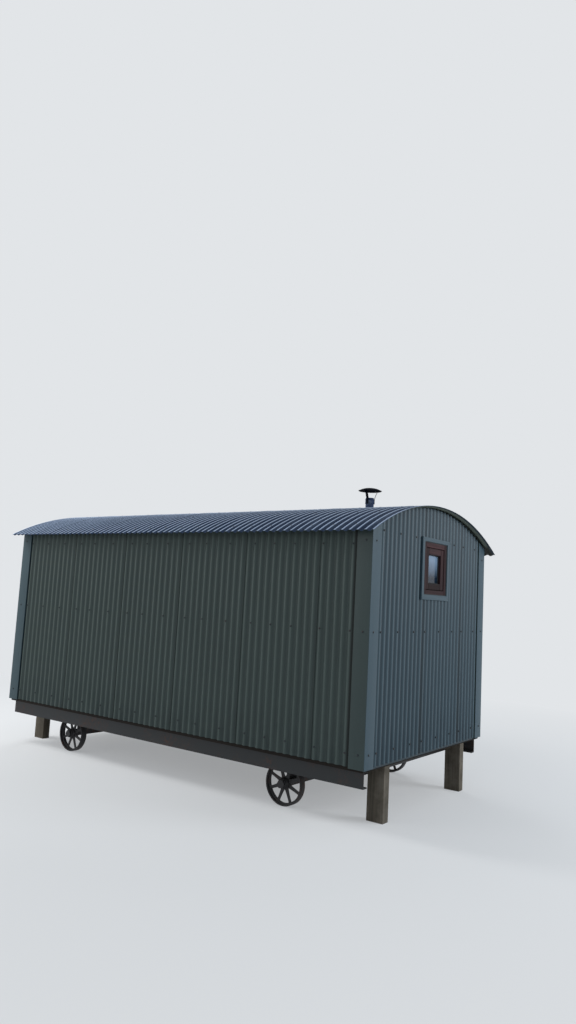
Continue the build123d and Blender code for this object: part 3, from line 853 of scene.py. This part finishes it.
class HUT_OT_roof_sheets(Maker, Operator):
    """Cover the arch with curved corrugated sheets that run from eaves to eaves"""
    bl_idname = "hut.roof_sheets"
    bl_label = "Roof sheets"

    def make(self, hut):
        sheets = hut.sheets
        waves = round(2 * ROOF_REACH / sheets.pitch)
        pitch = 2 * (ROOF_REACH - sheets.lip) / waves
        proud = 0.0018
        centre = CREST - sheets.radius
        eaves = math.asin(EAVES / sheets.radius)
        turn = np.linspace(-eaves, eaves, sheets.arc_steps + 1)
        turn, back = np.concatenate([turn, turn[::-1]]), np.repeat([0.0, 1.0], len(turn))
        shells = Shells()
        for run in sheet_runs(ROOF_REACH, pitch, (round(-waves / 2) + sheets.cover - 1.75) * pitch, sheets):
            out = (sheets.radius - proud + wave(run.u + pitch / 2, pitch, sheets.depth - proud)
                   + lap(run, run.u, pitch, sheets.gauge, 0.0004))
            radius = out[:, None] - back * sheets.gauge
            arch = points_at(run.u[:, None], radius * np.sin(turn), centre + radius * np.cos(turn))
            shells.add(ribbon(arch), underside=np.tile(back, len(run.u)))
        paint = roof_paint("roof_sheet_paint", hut.colours, pitch)
        shells.piece("curved_roof_sheets", paint, "roof_metal", ["roof_sheets"])


class HUT_OT_corner_trims(Maker, Operator):
    """Fold the four corner trims, with their free edges turned in, and the strips under the end sheets"""
    bl_idname = "hut.corner_trims"
    bl_label = "Corner trims"

    def make(self, hut):
        trims, colours = hut.trims, hut.colours
        inner_x, inner_y = HALF_LENGTH - trims.leg, HALF_WIDTH - trims.leg
        x, y = folded([(HALF_LENGTH - trims.hem, inner_y), (HALF_LENGTH, inner_y), (HALF_LENGTH, HALF_WIDTH),
                       (inner_x, HALF_WIDTH), (inner_x, HALF_WIDTH - trims.hem)], trims.fold, trims.gauge).T
        levels = np.stack(np.broadcast_arrays(TRIM_LOW[2], under_roof(y, hut.sheets)))
        points, faces = ribbon(points_at(x, y, levels))
        along_end = (points[:, 0] > HALF_LENGTH - trims.fold * 0.6).astype(float)
        shells = Shells()
        # Painted light: at the door end the trims' side faces are painted 0.6 of the way to the lighter,
        # bluer end copy.
        for sign_x, least in ((1, 0.0), (-1, 0.6)):
            for sign_y in (1, -1):
                shells.add((points * [sign_x, sign_y, 1], faces), facing=np.maximum(along_end, least))
        paint = trim_paint("corner_trim_paint", colours.side_trim_shaded, colours.end_trim_lit)
        shells.piece("folded_corner_trims", paint, "trim_paint", ["corner_trims"])

        low, high = corners("floor_frame")
        face, head, foot = high[0], CLAD_FOOT - 0.0008, CLAD_FOOT - trims.strip
        path = [(face, head), (face, foot + 0.004), (face + 0.004, foot)]
        x, z = folded(path, trims.fold * 0.8, trims.gauge * 0.8).T
        x = x + face + 0.0001 - x.min()
        points, faces = ribbon(points_at(x, np.array([[low[1]], [high[1]]]), z))
        strips = Shells()
        for sign_x in (1, -1):
            strips.add((points * [sign_x, 1, 1], faces), facing=1.0)
        # Painted shade: the strips take half the end trims' shade, as if in shade under the sheets' foot.
        shade = times(colours.end_trim_lit, 0.50)
        strips.piece("end_foot_strips", trim_paint("foot_strip_paint", shade, shade), "trim_paint")


class HUT_OT_screws(Maker, Operator):
    """Set the rows of roofing screws on the walls, the trims and the roof"""
    bl_idname = "hut.screws"
    bl_label = "Screws"

    def make(self, hut):
        sheets, screws, rust = hut.sheets, hut.screws, hut.colours.rust
        w, h, t = screws.washer, screws.head, screws.height
        screw = turned([0, w, w, h * 1.12, h, h * 0.55, 0],
                       [-0.0006, -0.0006, t * 0.26, t * 0.32, t * 0.80, t, t], segments=8)
        rows = np.array([screws.foot_row, screws.middle_row, screws.top_row]) + CLAD_FOOT
        shells = Shells()
        x = np.array([29, 25, 21, 18, 15, 11, 7, 4, 0, -4, -7, -11, -15, -18, -22, -26, -30]) + 0.5
        for side in (-1, 1):
            for level in rows - [0, 0, screws.side_drop]:
                places = points_at(x * sheets.pitch, side * (HALF_WIDTH - sheets.behind), level)
                planted(shells, screw, places, (0, side, 0))
        for side, where in ((1, "window"), (-1, "door")):
            half, foot, head = opening_of(*corners(f"{where}_flashing"))
            for level in rows:
                y = side * (np.array([-14, -10, -6, -3, 1, 5, 8, 12]) + 0.5) * sheets.pitch
                y = y[(np.abs(y) > half + 0.01) | (level < foot - 0.02) | (level > head + 0.02)]
                places = points_at(side * (HALF_LENGTH - sheets.behind), y, level)
                planted(shells, screw, places, (side, 0, 0))
        levels, inset = rows - [0, 0, screws.trim_drop], screws.trim_inset
        for sign_x in (1, -1):
            for sign_y in (1, -1):
                for x, y, facing in ((0, inset, (sign_x, 0, 0)), (inset, 0, (0, sign_y, 0))):
                    places = points_at(sign_x * (HALF_LENGTH - x), sign_y * (HALF_WIDTH - y), levels)
                    planted(shells, screw, places, facing)
        low, high = corners("window_flashing")
        half, foot, head = opening_of(low, high, play=0.020)
        y, levels = np.array([-half, half, half, -half]), np.array([foot, foot, head, head])
        places = points_at(high[0] - 0.0016, y, levels)
        planted(shells, (screw[0] * [0.6, 0.6, 0.4], screw[1]), places, (1, 0, 0))
        caps = painted_steel("screw_cap_paint", times(hut.colours.end_paint_lit, 0.24), rust, 0.25)
        shells.piece("wall_screws", caps, "sheet_paint", sharp=50)

        roof = Shells()
        reach = ROOF_REACH - sheets.lip
        x = np.arange(-30, 31, 3) * reach / round(reach / sheets.pitch)
        turn, x = (grid.ravel() for grid in np.meshgrid(np.radians([-26.6, -18, -9, 0, 9, 18, 26.6]), x))
        flue_x, flue_y = np.mean(corners("flue_pipe"), axis=0)[:2]
        clear = np.hypot(x - flue_x, sheets.radius * np.sin(turn) - flue_y) > screws.flue_clear
        outward = points_at(0, np.sin(turn), np.cos(turn))[clear]
        places = outward * (sheets.radius - 0.0020) + points_at(x, 0, CREST - sheets.radius)[clear]
        planted(roof, (screw[0] * [1, 1, 0.25], screw[1]), places, outward)
        zinc = painted_steel("roof_screw_zinc", hut.colours.zinc, rust, 0.3, metallic=0.6, gloss=0.4)
        roof.piece("roof_screws", zinc, "roof_metal", sharp=50)


class HUT_OT_window(Maker, Operator):
    """Make the window: frame, sash, gasket, glass and the folded flashing round them"""
    bl_idname = "hut.window"
    bl_label = "Window"

    def make(self, hut):
        joinery, colours = hut.joinery, hut.colours
        side, sill, stop = joinery.frame_side, joinery.frame_sill, joinery.frame_stop
        stain = timber("stained_window_timber", times(colours.stain, 1.25), colours.stain_deep, 0.7, 0.55)
        low, high = corners("window_frame")
        sash_low, sash_high = corners("window_sash")
        glass_low, glass_high = corners("window_glass")
        around, back = opening_of(low, high), sash_low[0]
        shells = Shells()
        # Painted light and shade: the stiles darker, the head lighter.
        frame_bars(shells, (back, high[0]), around, side, sill, joinery.arris, (-0.20, -0.10, 0.30, 0.0),
                   thinner=(0, 0.0005))
        # Painted shade: the stop, set back in the opening, darker.
        frame_bars(shells, (low[0], back), around, side + stop, sill + stop, 0.001, [-0.4] * 4)
        shells.piece("window_frame_joinery", stain, "stained_timber", ["window_frame"], sharp=30)

        inside = opening_of(sash_low, sash_high, play=0.0018)
        rail = inside[0] - glass_high[1] - 0.0003
        shells = Shells()
        # Painted light and shade: the left stile and the bottom rail darker, the top rail lighter.
        frame_bars(shells, (back, sash_high[0]), inside, rail, rail, 0.004, (-0.35, 0.05, 0.20, -0.62),
                   thinner=(0, 0.0006), gap=0.0004, steps=4)
        shells.piece("window_sash_joinery", stain, "stained_timber", ["window_sash"], sharp=30)

        pane = opening_of(glass_low, glass_high)
        glass = glass_finish("window_pane_glass", colours, *pane[1:])
        rubber = dark_rubber("gasket_rubber", colours.washer)
        for name, shell, finish, slot, replaced in (
            ("window_pane", soft_bar(glass_low, glass_high, 2, 0.0012, steps=1), glass, "window_glass",
             ["window_glass"]),
            ("glazing_gasket", mitred(*pane, [0.006] * 3, [0.0, -1.0, -0.8, 0.0],
                                      glass_high[0] + np.array([0.0002, 0.0002, 0.0045, 0.0075])),
             rubber, "window_glass", []),
            # A dark rubber bead between flashing and frame: sealant, and a painted shadow in the gap there.
            ("sealant_and_shadow_bead", mitred(*around, [0.007] * 3, [0.02, -0.7, -1.0, 0.02],
                                     high[0] + np.array([-0.0010, -0.0010, 0.0006, 0.0032])),
             rubber, "trim_paint", []),
        ):
            shells = Shells()
            shells.add(shell)
            shells.piece(name, finish, slot, replaced)
        flashing("window", 1, hut)


class HUT_OT_door(Maker, Operator):
    """Make the stable door in its frame: boarded leaves, strap hinges, handle and flashing"""
    bl_idname = "hut.door"
    bl_label = "Door"

    def make(self, hut):
        joinery, colours = hut.joinery, hut.colours
        side, sill, stop = joinery.door_side, joinery.door_sill, joinery.door_stop
        stain = timber("stained_door_timber", colours.stain, colours.stain_deep, gloss=0.55)
        low, high = corners("door_frame")
        leaves = {name: corners(f"door_leaf_{name}") for name in ("lower", "upper")}
        deep = leaves["lower"][1][0]
        around = opening_of(low, high)
        shells = Shells()
        frame_bars(shells, (low[0], deep), around, side, sill, joinery.arris, [0.0] * 4, thinner=(0.0005, 0))
        frame_bars(shells, (deep, high[0]), around, side + stop, sill + stop, 0.001, [0.0] * 4)
        shells.piece("door_frame_joinery", stain, "stained_timber", ["door_frame"], sharp=30)

        for name, (leaf_low, leaf_high) in leaves.items():
            boards = round((leaf_high[1] - leaf_low[1]) / joinery.board)
            edges = np.linspace(leaf_low[1], leaf_high[1], boards + 1)
            shells = Shells()
            for start, end in zip(edges, edges[1:]):
                board_low = (leaf_low[0], start + 0.0003, leaf_low[2])
                board_high = (leaf_high[0], end - 0.0003, leaf_high[2])
                shells.member(board_low, board_high, 2, 0.0045, steps=2)
            leaf = f"door_leaf_{name}"
            shells.piece(f"boarded_{leaf}", stain, "stained_timber", [leaf], sharp=30)

        iron = painted_steel("door_black_iron", colours.door_iron, colours.rust, 0.2, gloss=0.55, cast=0.6)
        strap_hinges(iron, leaves["lower"], leaves["upper"])
        lever_handle(iron)
        flashing("door", -1, hut)


def outer_side(low, high):
    """The y of a solid's edge that lies further from the middle, and its sign."""
    edge = max(low[1], high[1], key=abs)
    return edge, math.copysign(1.0, edge)


def strap_hinges(iron, lower, upper):
    """Two strap hinges on each leaf of the door: a strap that narrows from the edge of the door to a round
    tip, with four bolts."""
    low, high = corners("door_hinges")
    edge, side = outer_side(low, high)
    wide, narrow, tip, soft = 0.019, 0.0095, 0.93, 0.0012
    t = np.linspace(0, 1, 15)
    round_tip = narrow * np.sqrt(np.clip(1 - ((t - tip) / (1 - tip)) ** 2, 0.02, 1))
    half = np.where(t < tip, wide - (wide - narrow) * t / tip, round_tip)
    reach = high[1] - low[1]
    outer, inner = low[0], high[0]
    across = half[:, None] * [-1, -1, -1, 0, 1, 1, 1, 0] + np.array([0, 0, soft, 0, -soft, 0, 0, 0])
    strap = points_at(np.array([inner, outer + soft, outer, outer, outer, outer + soft, inner, inner]),
                      (edge - side * t * reach)[:, None], across)
    bolt = turned([0, 0.0068, 0.0062, 0.0035, 0], [0, 0, 0.0022, 0.0036, 0.0040], segments=12)
    bolt_at = edge - side * reach * np.array([0.10, 0.34, 0.60, 0.86])
    inset = low[2] + wide - lower[0][2]
    shells = Shells()
    for level in (lower[0][2] + inset, lower[1][2] - inset, lower[1][2] + 0.003 + inset, upper[1][2] - inset):
        shells.add(bar(strap + np.array([0, 0, level])))
        planted(shells, bolt, points_at(outer, bolt_at, level), (-1, 0, 0))
    shells.piece("strap_hinges", iron, "black_iron", ["door_hinges"])


def lever_handle(iron):
    """A lever handle: a plate on the door, a stepped spindle that runs from it into the leaf, and in front,
    free of both, a flat lever that tapers and droops."""
    low, high = corners("door_handle")
    edge, side = outer_side(low, high)
    tip, back, middle = low[0], high[0], (low[2] + high[2]) / 2
    half = (high[2] - low[2]) / 2
    near, far = sorted((edge, edge - side * 0.04))
    shells = Shells()
    shells.add(soft_bar((back - 0.003, near, middle - half), (back, far, middle + half), 2, 0.0012))
    spindle, reach = edge - side * 0.020, back - tip - 0.0045
    shells.add(turned([0, 0.0085, 0.0085, 0.0070, 0.0070, 0], [0, 0, 0.006, 0.008, reach, reach],
                      (back, spindle, middle), axis=0, segments=20))
    s = np.linspace(0, 1, 17)[:, None]
    droop = -0.006 * np.sin(np.pi * np.clip((s - 0.25) / 0.75, 0, 1)) ** 2
    a, b = rounded_rectangle(0.0045, 0.0095, 0.0035)
    shells.add(bar(points_at(tip + 0.0045 + a, spindle + side * 0.009 - side * s * 0.132,
                             middle + droop + (1 - 0.25 * s) * b)))
    shells.piece("lever_handle", iron, "black_iron", ["door_handle"])


class HUT_OT_flue(Maker, Operator):
    """Make the flue: pipe with its clamp band, straps, domed cap and the boot on the roof"""
    bl_idname = "hut.flue"
    bl_label = "Flue"

    def make(self, hut):
        flue, colours = hut.flue, hut.colours
        low, high = corners("flue_pipe")
        middle = (low + high) / 2 * [1, 1, 0]
        w, b = flue.wall, flue.band_radius
        band_top = high[2] - 0.012
        band_foot = band_top - flue.band_height
        pipe_and_band(flue, colours, middle, low[2], high[2], band_foot)

        cap_r, rise, bulge = flue.cap_radius, flue.cap_rise, 2.6
        cap_foot = corners("cowl_cap")[1][2] - rise
        s = np.linspace(0, 1, 15)[:-1]
        dome = rise * (1 - s ** bulge)
        bead, turn = 0.0022, np.linspace(np.pi / 2, -np.pi / 2, 6)
        bead_r, bead_z = cap_r - bead + bead * np.cos(turn), bead + bead * np.sin(turn)
        radius = np.concatenate([cap_r * s, bead_r, (cap_r * s * 0.985)[::-1]])
        level = np.concatenate([dome, bead_z, np.clip(dome - w, 0.0012, None)[::-1]])
        shells = Shells()
        shells.add(turned(radius, cap_foot + level, middle, segments=64))
        sooted = flue_finish("sooted_cap_steel", colours.cap_steel, 0.06, 0.0, colours)
        shells.piece("domed_cowl_cap", sooted, "flue_steel", ["cowl_cap"], sharp=40)

        shells = Shells()
        foot_r, tip_r = b + 0.0018, flue.strap_reach
        tip = cap_foot + rise * (1 - (tip_r / cap_r) ** bulge) - w - 0.0014
        t = np.linspace(0, 1, 22)
        path_r = np.append(np.full(6, foot_r), foot_r + (tip_r - foot_r) * t ** 1.2)
        flare = band_top + (tip - band_top) * (1 - (1 - t) ** 1.1)
        path_z = np.append(np.linspace(band_foot, band_top - 0.004, 6), flare)
        along = np.gradient(np.stack([path_r, path_z]), axis=1)
        along_r, along_z = (along / np.linalg.norm(along, axis=0))[..., None]
        a, across = rounded_rectangle(0.0018, flue.strap_width / 2, 0.0009, 2)
        strap_r, strap_z = path_r[:, None] + along_z * a, path_z[:, None] - along_r * a
        rivet = turned([0, 0.0042, 0.0038, 0.0018, 0], [0, 0, 0.0014, 0.0024, 0.0026], segments=10)
        for turn in flue.strap_turn + np.arange(3) * 2 * np.pi / 3:
            cos, sin = np.cos(turn), np.sin(turn)
            x, y = strap_r * cos - across * sin, strap_r * sin + across * cos
            shells.add(bar(middle + points_at(x, y, strap_z)))
            pins = points_at((b + 0.0030) * cos, (b + 0.0030) * sin, band_foot + np.array([0.012, 0.044]))
            planted(shells, rivet, middle + pins, (cos, sin, 0))
        shells.piece("flared_cowl_straps", sooted, "flue_steel", ["cowl_straps"])
        boot_and_clamp(hut.sheets, colours, middle, flue.radius)


def pipe_and_band(flue, colours, middle, foot, top, band_foot):
    """The pipe with its swaged ring, and the band that is clamped round it with a lug."""
    r, w, b, h = flue.radius, flue.wall, flue.band_radius, flue.band_height
    swage = band_foot - np.array([0.062, 0.060, 0.052, 0.050])
    band = band_foot + np.array([0, 0, 0.001, 0.012, 0.015, h - 0.015, h - 0.012, h - 0.001, h, h])
    shells = Shells()
    shells.add(turned([r - w, r, r, r + 0.0015, r + 0.0015, r, r, r - 0.0008, r - w + 0.0006, r - w],
                      [foot, foot, *swage, top - 0.0012, top, top, top - 0.0012], middle))
    shells.add(turned([r + 0.0001, b - 0.001, b, b, b - 0.001, b - 0.001, b, b, b - 0.001, r + 0.0001],
                      band, middle))
    turn, half = math.radians(-62), np.array([0.009, 0.006, 0.0085])
    lug = middle + [(b + 0.004) * math.cos(turn), (b + 0.004) * math.sin(turn), band_foot + 0.0285]
    shells.add(soft_bar(lug - half, lug + half, 0, 0.002))
    steel = flue_finish("flue_black_steel", colours.steel, 0.25, 0.45, colours)
    shells.piece("flue_pipe_and_band", steel, "flue_steel", ["flue_pipe"])


def boot_and_clamp(sheets, colours, middle, r):
    """The boot: a plate on the roof's curve whose collar rises to the pipe, plate + (top - plate) (1 +
    cos(pi f)) / 2 over a fall f, with small pleats, and a clamp round its neck."""
    low, high = corners("flue_boot")
    half, inner = (high[0] - low[0]) / 2 - 0.001, r + 0.0008
    turn = 2 * np.pi * np.arange(96)[:, None] / 96
    square = half * np.minimum(1 / np.maximum(np.abs(np.cos(turn)), np.abs(np.sin(turn))), 1.32)
    radii = inner + (square - inner) * np.linspace(0, 1, 25)
    x, y = middle[0] + radii * np.cos(turn), middle[1] + radii * np.sin(turn)
    below = CREST - sheets.radius + np.sqrt((sheets.radius + 0.0006) ** 2 - y ** 2)
    plate = below + 0.0026
    fall = np.clip((radii - inner) / 0.034, 0, 1)
    cone = (plate + (high[2] - plate) * (1 + np.cos(np.pi * fall)) / 2
            + 0.0012 * np.cos(12 * np.pi * fall) * (fall < 1))
    outer, under = points_at(x, y, np.minimum(cone, high[2])), points_at(x, y, below)
    shells = Shells()
    shells.add(hoop(np.concatenate([outer, under[:, ::-1]], axis=1)))
    shells.add(turned(r + np.array([0.004, 0.0085, 0.0085, 0.004]),
                      high[2] - 0.016 + np.array([0, 0, 0.010, 0.010]), middle))
    rubber = dark_rubber("boot_rubber", colours.steel)
    shells.piece("flue_boot_and_clamp", rubber, "flue_steel", ["flue_boot"])


class HUT_OT_wheels(Maker, Operator):
    """Cast the four wheels: flanged rim, tapered spokes with swollen ends, and stepped hub"""
    bl_idname = "hut.wheels"
    bl_label = "Wheels"

    def make(self, hut):
        wheels, colours = hut.wheels, hut.colours
        r, w, h = wheels.radius, wheels.width / 2, wheels.hub_radius
        rim = r - 0.014
        rib = rim - 0.012
        rim_r = [r - 0.002, r, r, r - 0.002, rim + 0.003, rim, rim, rib + 0.003, rib, rib + 0.003, rim, rim,
                 rim + 0.003]
        rim_y = [-w, -w + 0.003, w - 0.003, w, w, w - 0.003, 0.011, 0.008, 0, -0.008, -0.011, -w + 0.003, -w]
        steps = h - np.array([0.012, 0.009, 0.009, 0.004, 0, 0, 0.004, 0.009, 0.009, 0.012])
        hub_r = [wheels.bore, *steps, wheels.bore]
        hub_y = wheels.hub_length / 2 * np.array([-1, -1, -0.96, -0.66, -0.56, -0.40,
                                                  0.40, 0.56, 0.66, 0.96, 1, 1])
        t = np.linspace(0, 1, 11)[:, None]
        out = h * 0.86 + (rib + 0.006 - h * 0.86) * t
        swell = 0.35 * np.exp(-t * 9) + 0.30 * np.exp(-(1 - t) * 9)
        ring = 2 * np.pi * np.arange(12) / 12
        a, b = (np.sign(part) * np.abs(part) ** 0.7 for part in (np.cos(ring), np.sin(ring)))
        across, thick = (0.018 - 0.006 * t) * (1 + swell) * a, 0.007 * (1 + 1.2 * swell) * b
        shells = Shells()
        for x in (-wheels.base / 2, wheels.base / 2):
            for y in (-wheels.track, wheels.track):
                middle = np.array([x, y, r])
                shells.add(turned(rim_r, rim_y, middle, axis=1, segments=64))
                shells.add(turned(hub_r, hub_y, middle, axis=1, segments=32))
                for turn in 2 * np.pi * (np.arange(wheels.spokes) + 0.5) / wheels.spokes:
                    cos, sin = np.cos(turn), np.sin(turn)
                    spoke = points_at(out * cos - across * sin, thick, out * sin + across * cos)
                    shells.add(bar(middle + spoke))
        iron = painted_steel("wheel_cast_iron", colours.iron, colours.rust, 0.75, metallic=0.2, gloss=0.55,
                             cast=1.0)
        shells.piece("cast_wheels", iron, "wheel_iron", ["wheels"])


class HUT_OT_carried_parts(Maker, Operator):
    """Finish the solids that stay as they are: chassis, axles, posts, floor, walls and deck"""
    bl_idname = "hut.carried_parts"
    bl_label = "Carried parts"

    def make(self, hut):
        colours = hut.colours
        # Painted shade: the chassis takes the near-black shade under the hut.
        chassis = painted_steel("chassis_paint", colours.chassis, colours.rust, 0.35)
        iron = painted_steel("axle_iron", colours.iron, colours.rust, 0.75, metallic=0.3, gloss=0.5)
        painted = ("chassis_beam_left", "chassis_beam_right", "chassis_cross_tubes", "bolsters", "axle_legs")
        finishes = [(chassis, painted), (iron, ("axles",))]
        walls = ("wall_left", "wall_right", "wall_window_end", "wall_door_end")
        for name, light, dark, axis, coarse, gloss, silver, nodes in (
            ("weathered_post_timber", colours.grey_timber, 0.35, 2, 0.7, 0.7, 0.5, ("support_posts",)),
            # Painted shade: the joists take the near-black shade under the hut.
            ("joist_timber", colours.shaded_joist_timber, 0.5, 0, 0.8, 0.7, 0.0, ("floor_frame",)),
            ("floor_board_timber", colours.pale_timber, 0.55, 0, 0.8, 0.6, 0.2, ("floor_boards",)),
            ("wall_lining_timber", colours.lining, 0.6, 2, 0.7, 0.5, 0.0, walls),
            ("deck_lining_timber", colours.lining, 0.6, 0, 0.7, 0.5, 0.0, ("roof_deck",)),
        ):
            finish = timber(name, light, times(light, dark), coarse, gloss, axis, silver, colours.silver)
            finishes.append((finish, nodes))
        for finish, nodes in finishes:
            for node in nodes:
                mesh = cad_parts[node].data
                mesh.materials.clear()
                mesh.materials.append(finish)


def stage_surface(name, shade, lit, near, far):
    """The floor's finish: it takes light and shadow near the hut, and fades with distance to its own even
    shade, so that it meets the background. Camera, gloss and glass see that shade, and other rays a plain
    matt floor."""
    finish = Finish(name, Roughness=0.9, Specular_IOR_Level=0.1)
    finish.shader.inputs["Base Color"].default_value = (*shade, 1.0)
    x, y, _ = finish.coordinates()
    away = (x * x + y * y) ** 0.5
    glow = finish.node("ShaderNodeEmission", {}, {"Color": shade, "Strength": 1.0})
    finish.show(1 - (1 - away.over(near, far)) * lit, finish.shader, glow, "Material Output")
    return finish.material


class HUT_OT_stage(Maker, Operator):
    """Set the pale floor, the soft lights, the background and the camera"""
    bl_idname = "hut.stage"
    bl_label = "Stage"

    def make(self, hut):
        stage, scene = hut.stage, bpy.context.scene
        reach = 60.0
        mesh = bpy.data.meshes.new("studio_floor")
        x, y = np.meshgrid(np.linspace(-reach, reach, 5), np.linspace(-reach, reach, 13))
        index = np.arange(x.size).reshape(x.shape)
        quads = np.stack([index[:-1, :-1], index[:-1, 1:], index[1:, 1:], index[1:, :-1]], axis=-1)
        mesh.from_pydata(points_at(x, y, 0).reshape(-1, 3).tolist(), [], quads.reshape(-1, 4).tolist())
        mesh.materials.append(stage_surface("studio_floor_paint", stage.floor, 0.60, 3.6, 8.5))
        floor = bpy.data.objects.new("studio_floor", mesh)
        scene.collection.objects.link(floor)

        scene.world = bpy.data.worlds.new("studio_world")
        scene.world.use_nodes = True
        graph = Graph(scene.world.node_tree)
        background = graph.tree.nodes["Background"]
        background.inputs["Color"].default_value = (0.92, 0.96, 1.0, 1.0)
        background.inputs["Strength"].default_value = 0.50
        seen = graph.node("ShaderNodeBackground", {}, {"Color": stage.backdrop})
        graph.show(1, background, seen, "World Output")

        for name, place, aim, size, power, shade in (
            ("end_softbox", (9.5, 3.0, 4.6), (2.4, 0.0, 1.5), 4.0, 360, (0.94, 0.97, 1.0)),
            ("side_softbox", (-4.0, -9.0, 4.4), (-0.5, -1.2, 1.5), 3.5, 90, (1.0, 0.98, 0.94)),
            ("roof_softbox", (-5.2, -2.8, 5.4), (-2.4, -0.6, 2.6), 2.4, 270, (1.0, 0.98, 0.95)),
            ("back_softbox", (-6.0, 8.0, 4.0), (-1.0, 1.0, 1.5), 4.0, 300, (1.0, 1.0, 1.0)),
        ):
            light = bpy.data.lights.new(name, "AREA")
            light.shape = "RECTANGLE"
            light.size = light.size_y = size
            light.energy = power
            light.color = shade
            lamp = bpy.data.objects.new(name, light)
            lamp.location = place
            lamp.rotation_euler = (Vector(aim) - Vector(place)).to_track_quat("-Z", "Y").to_euler()
            scene.collection.objects.link(lamp)

        camera = bpy.data.cameras.new("camera")
        camera.lens = stage.lens
        camera.sensor_width = 36.0
        camera.sensor_fit = "AUTO"
        camera.clip_end = 300.0
        viewer = bpy.data.objects.new("camera", camera)
        turn, tilt, roll = stage.turn, stage.tilt, stage.roll
        ahead = Vector((-math.sin(turn) * math.cos(tilt), math.cos(turn) * math.cos(tilt), math.sin(tilt)))
        level = Vector((math.cos(turn), math.sin(turn), 0))
        rise = level.cross(ahead)
        right = math.cos(roll) * level + math.sin(roll) * rise
        up = -math.sin(roll) * level + math.cos(roll) * rise
        pose = Matrix((right, up, -ahead)).transposed().to_4x4()
        pose.translation = Vector(stage.place)
        viewer.matrix_world = pose
        scene.collection.objects.link(viewer)
        scene.camera = viewer
        scene.view_settings.view_transform = "Standard"


GROUPS = (SheetSizes, TrimSizes, ScrewSizes, JoinerySizes, FlueSizes, WheelSizes, FinishColours,
          StageSettings, HutSettings)
OPERATORS = (HUT_OT_side_sheets, HUT_OT_end_sheets, HUT_OT_roof_sheets, HUT_OT_corner_trims, HUT_OT_screws,
             HUT_OT_window, HUT_OT_door, HUT_OT_flue, HUT_OT_wheels, HUT_OT_carried_parts, HUT_OT_stage)


class HUT_PT_sidebar(Panel):
    """Sizes, colours and steps for the hut"""
    bl_label = "Hut"
    bl_idname = "HUT_PT_sidebar"
    bl_space_type = "VIEW_3D"
    bl_region_type = "UI"
    bl_category = "Hut"

    def draw(self, context):
        hut = context.scene.hut
        for part in hut.__annotations__:
            group = getattr(hut, part)
            box = self.layout.box()
            for key in group.__annotations__:
                box.prop(group, key)
        for step in OPERATORS:
            self.layout.operator(step.bl_idname)


def register():
    for cls in (*GROUPS, *OPERATORS, HUT_PT_sidebar):
        bpy.utils.register_class(cls)
    bpy.types.Scene.hut = PointerProperty(type=HutSettings)


def unregister():
    del bpy.types.Scene.hut
    for cls in reversed((*GROUPS, *OPERATORS, HUT_PT_sidebar)):
        bpy.utils.unregister_class(cls)


def main():
    """Builds every piece and the stage."""
    register()
    for step in OPERATORS:
        getattr(bpy.ops.hut, step.bl_idname.partition(".")[2])()


if __name__ == "__main__":
    main()
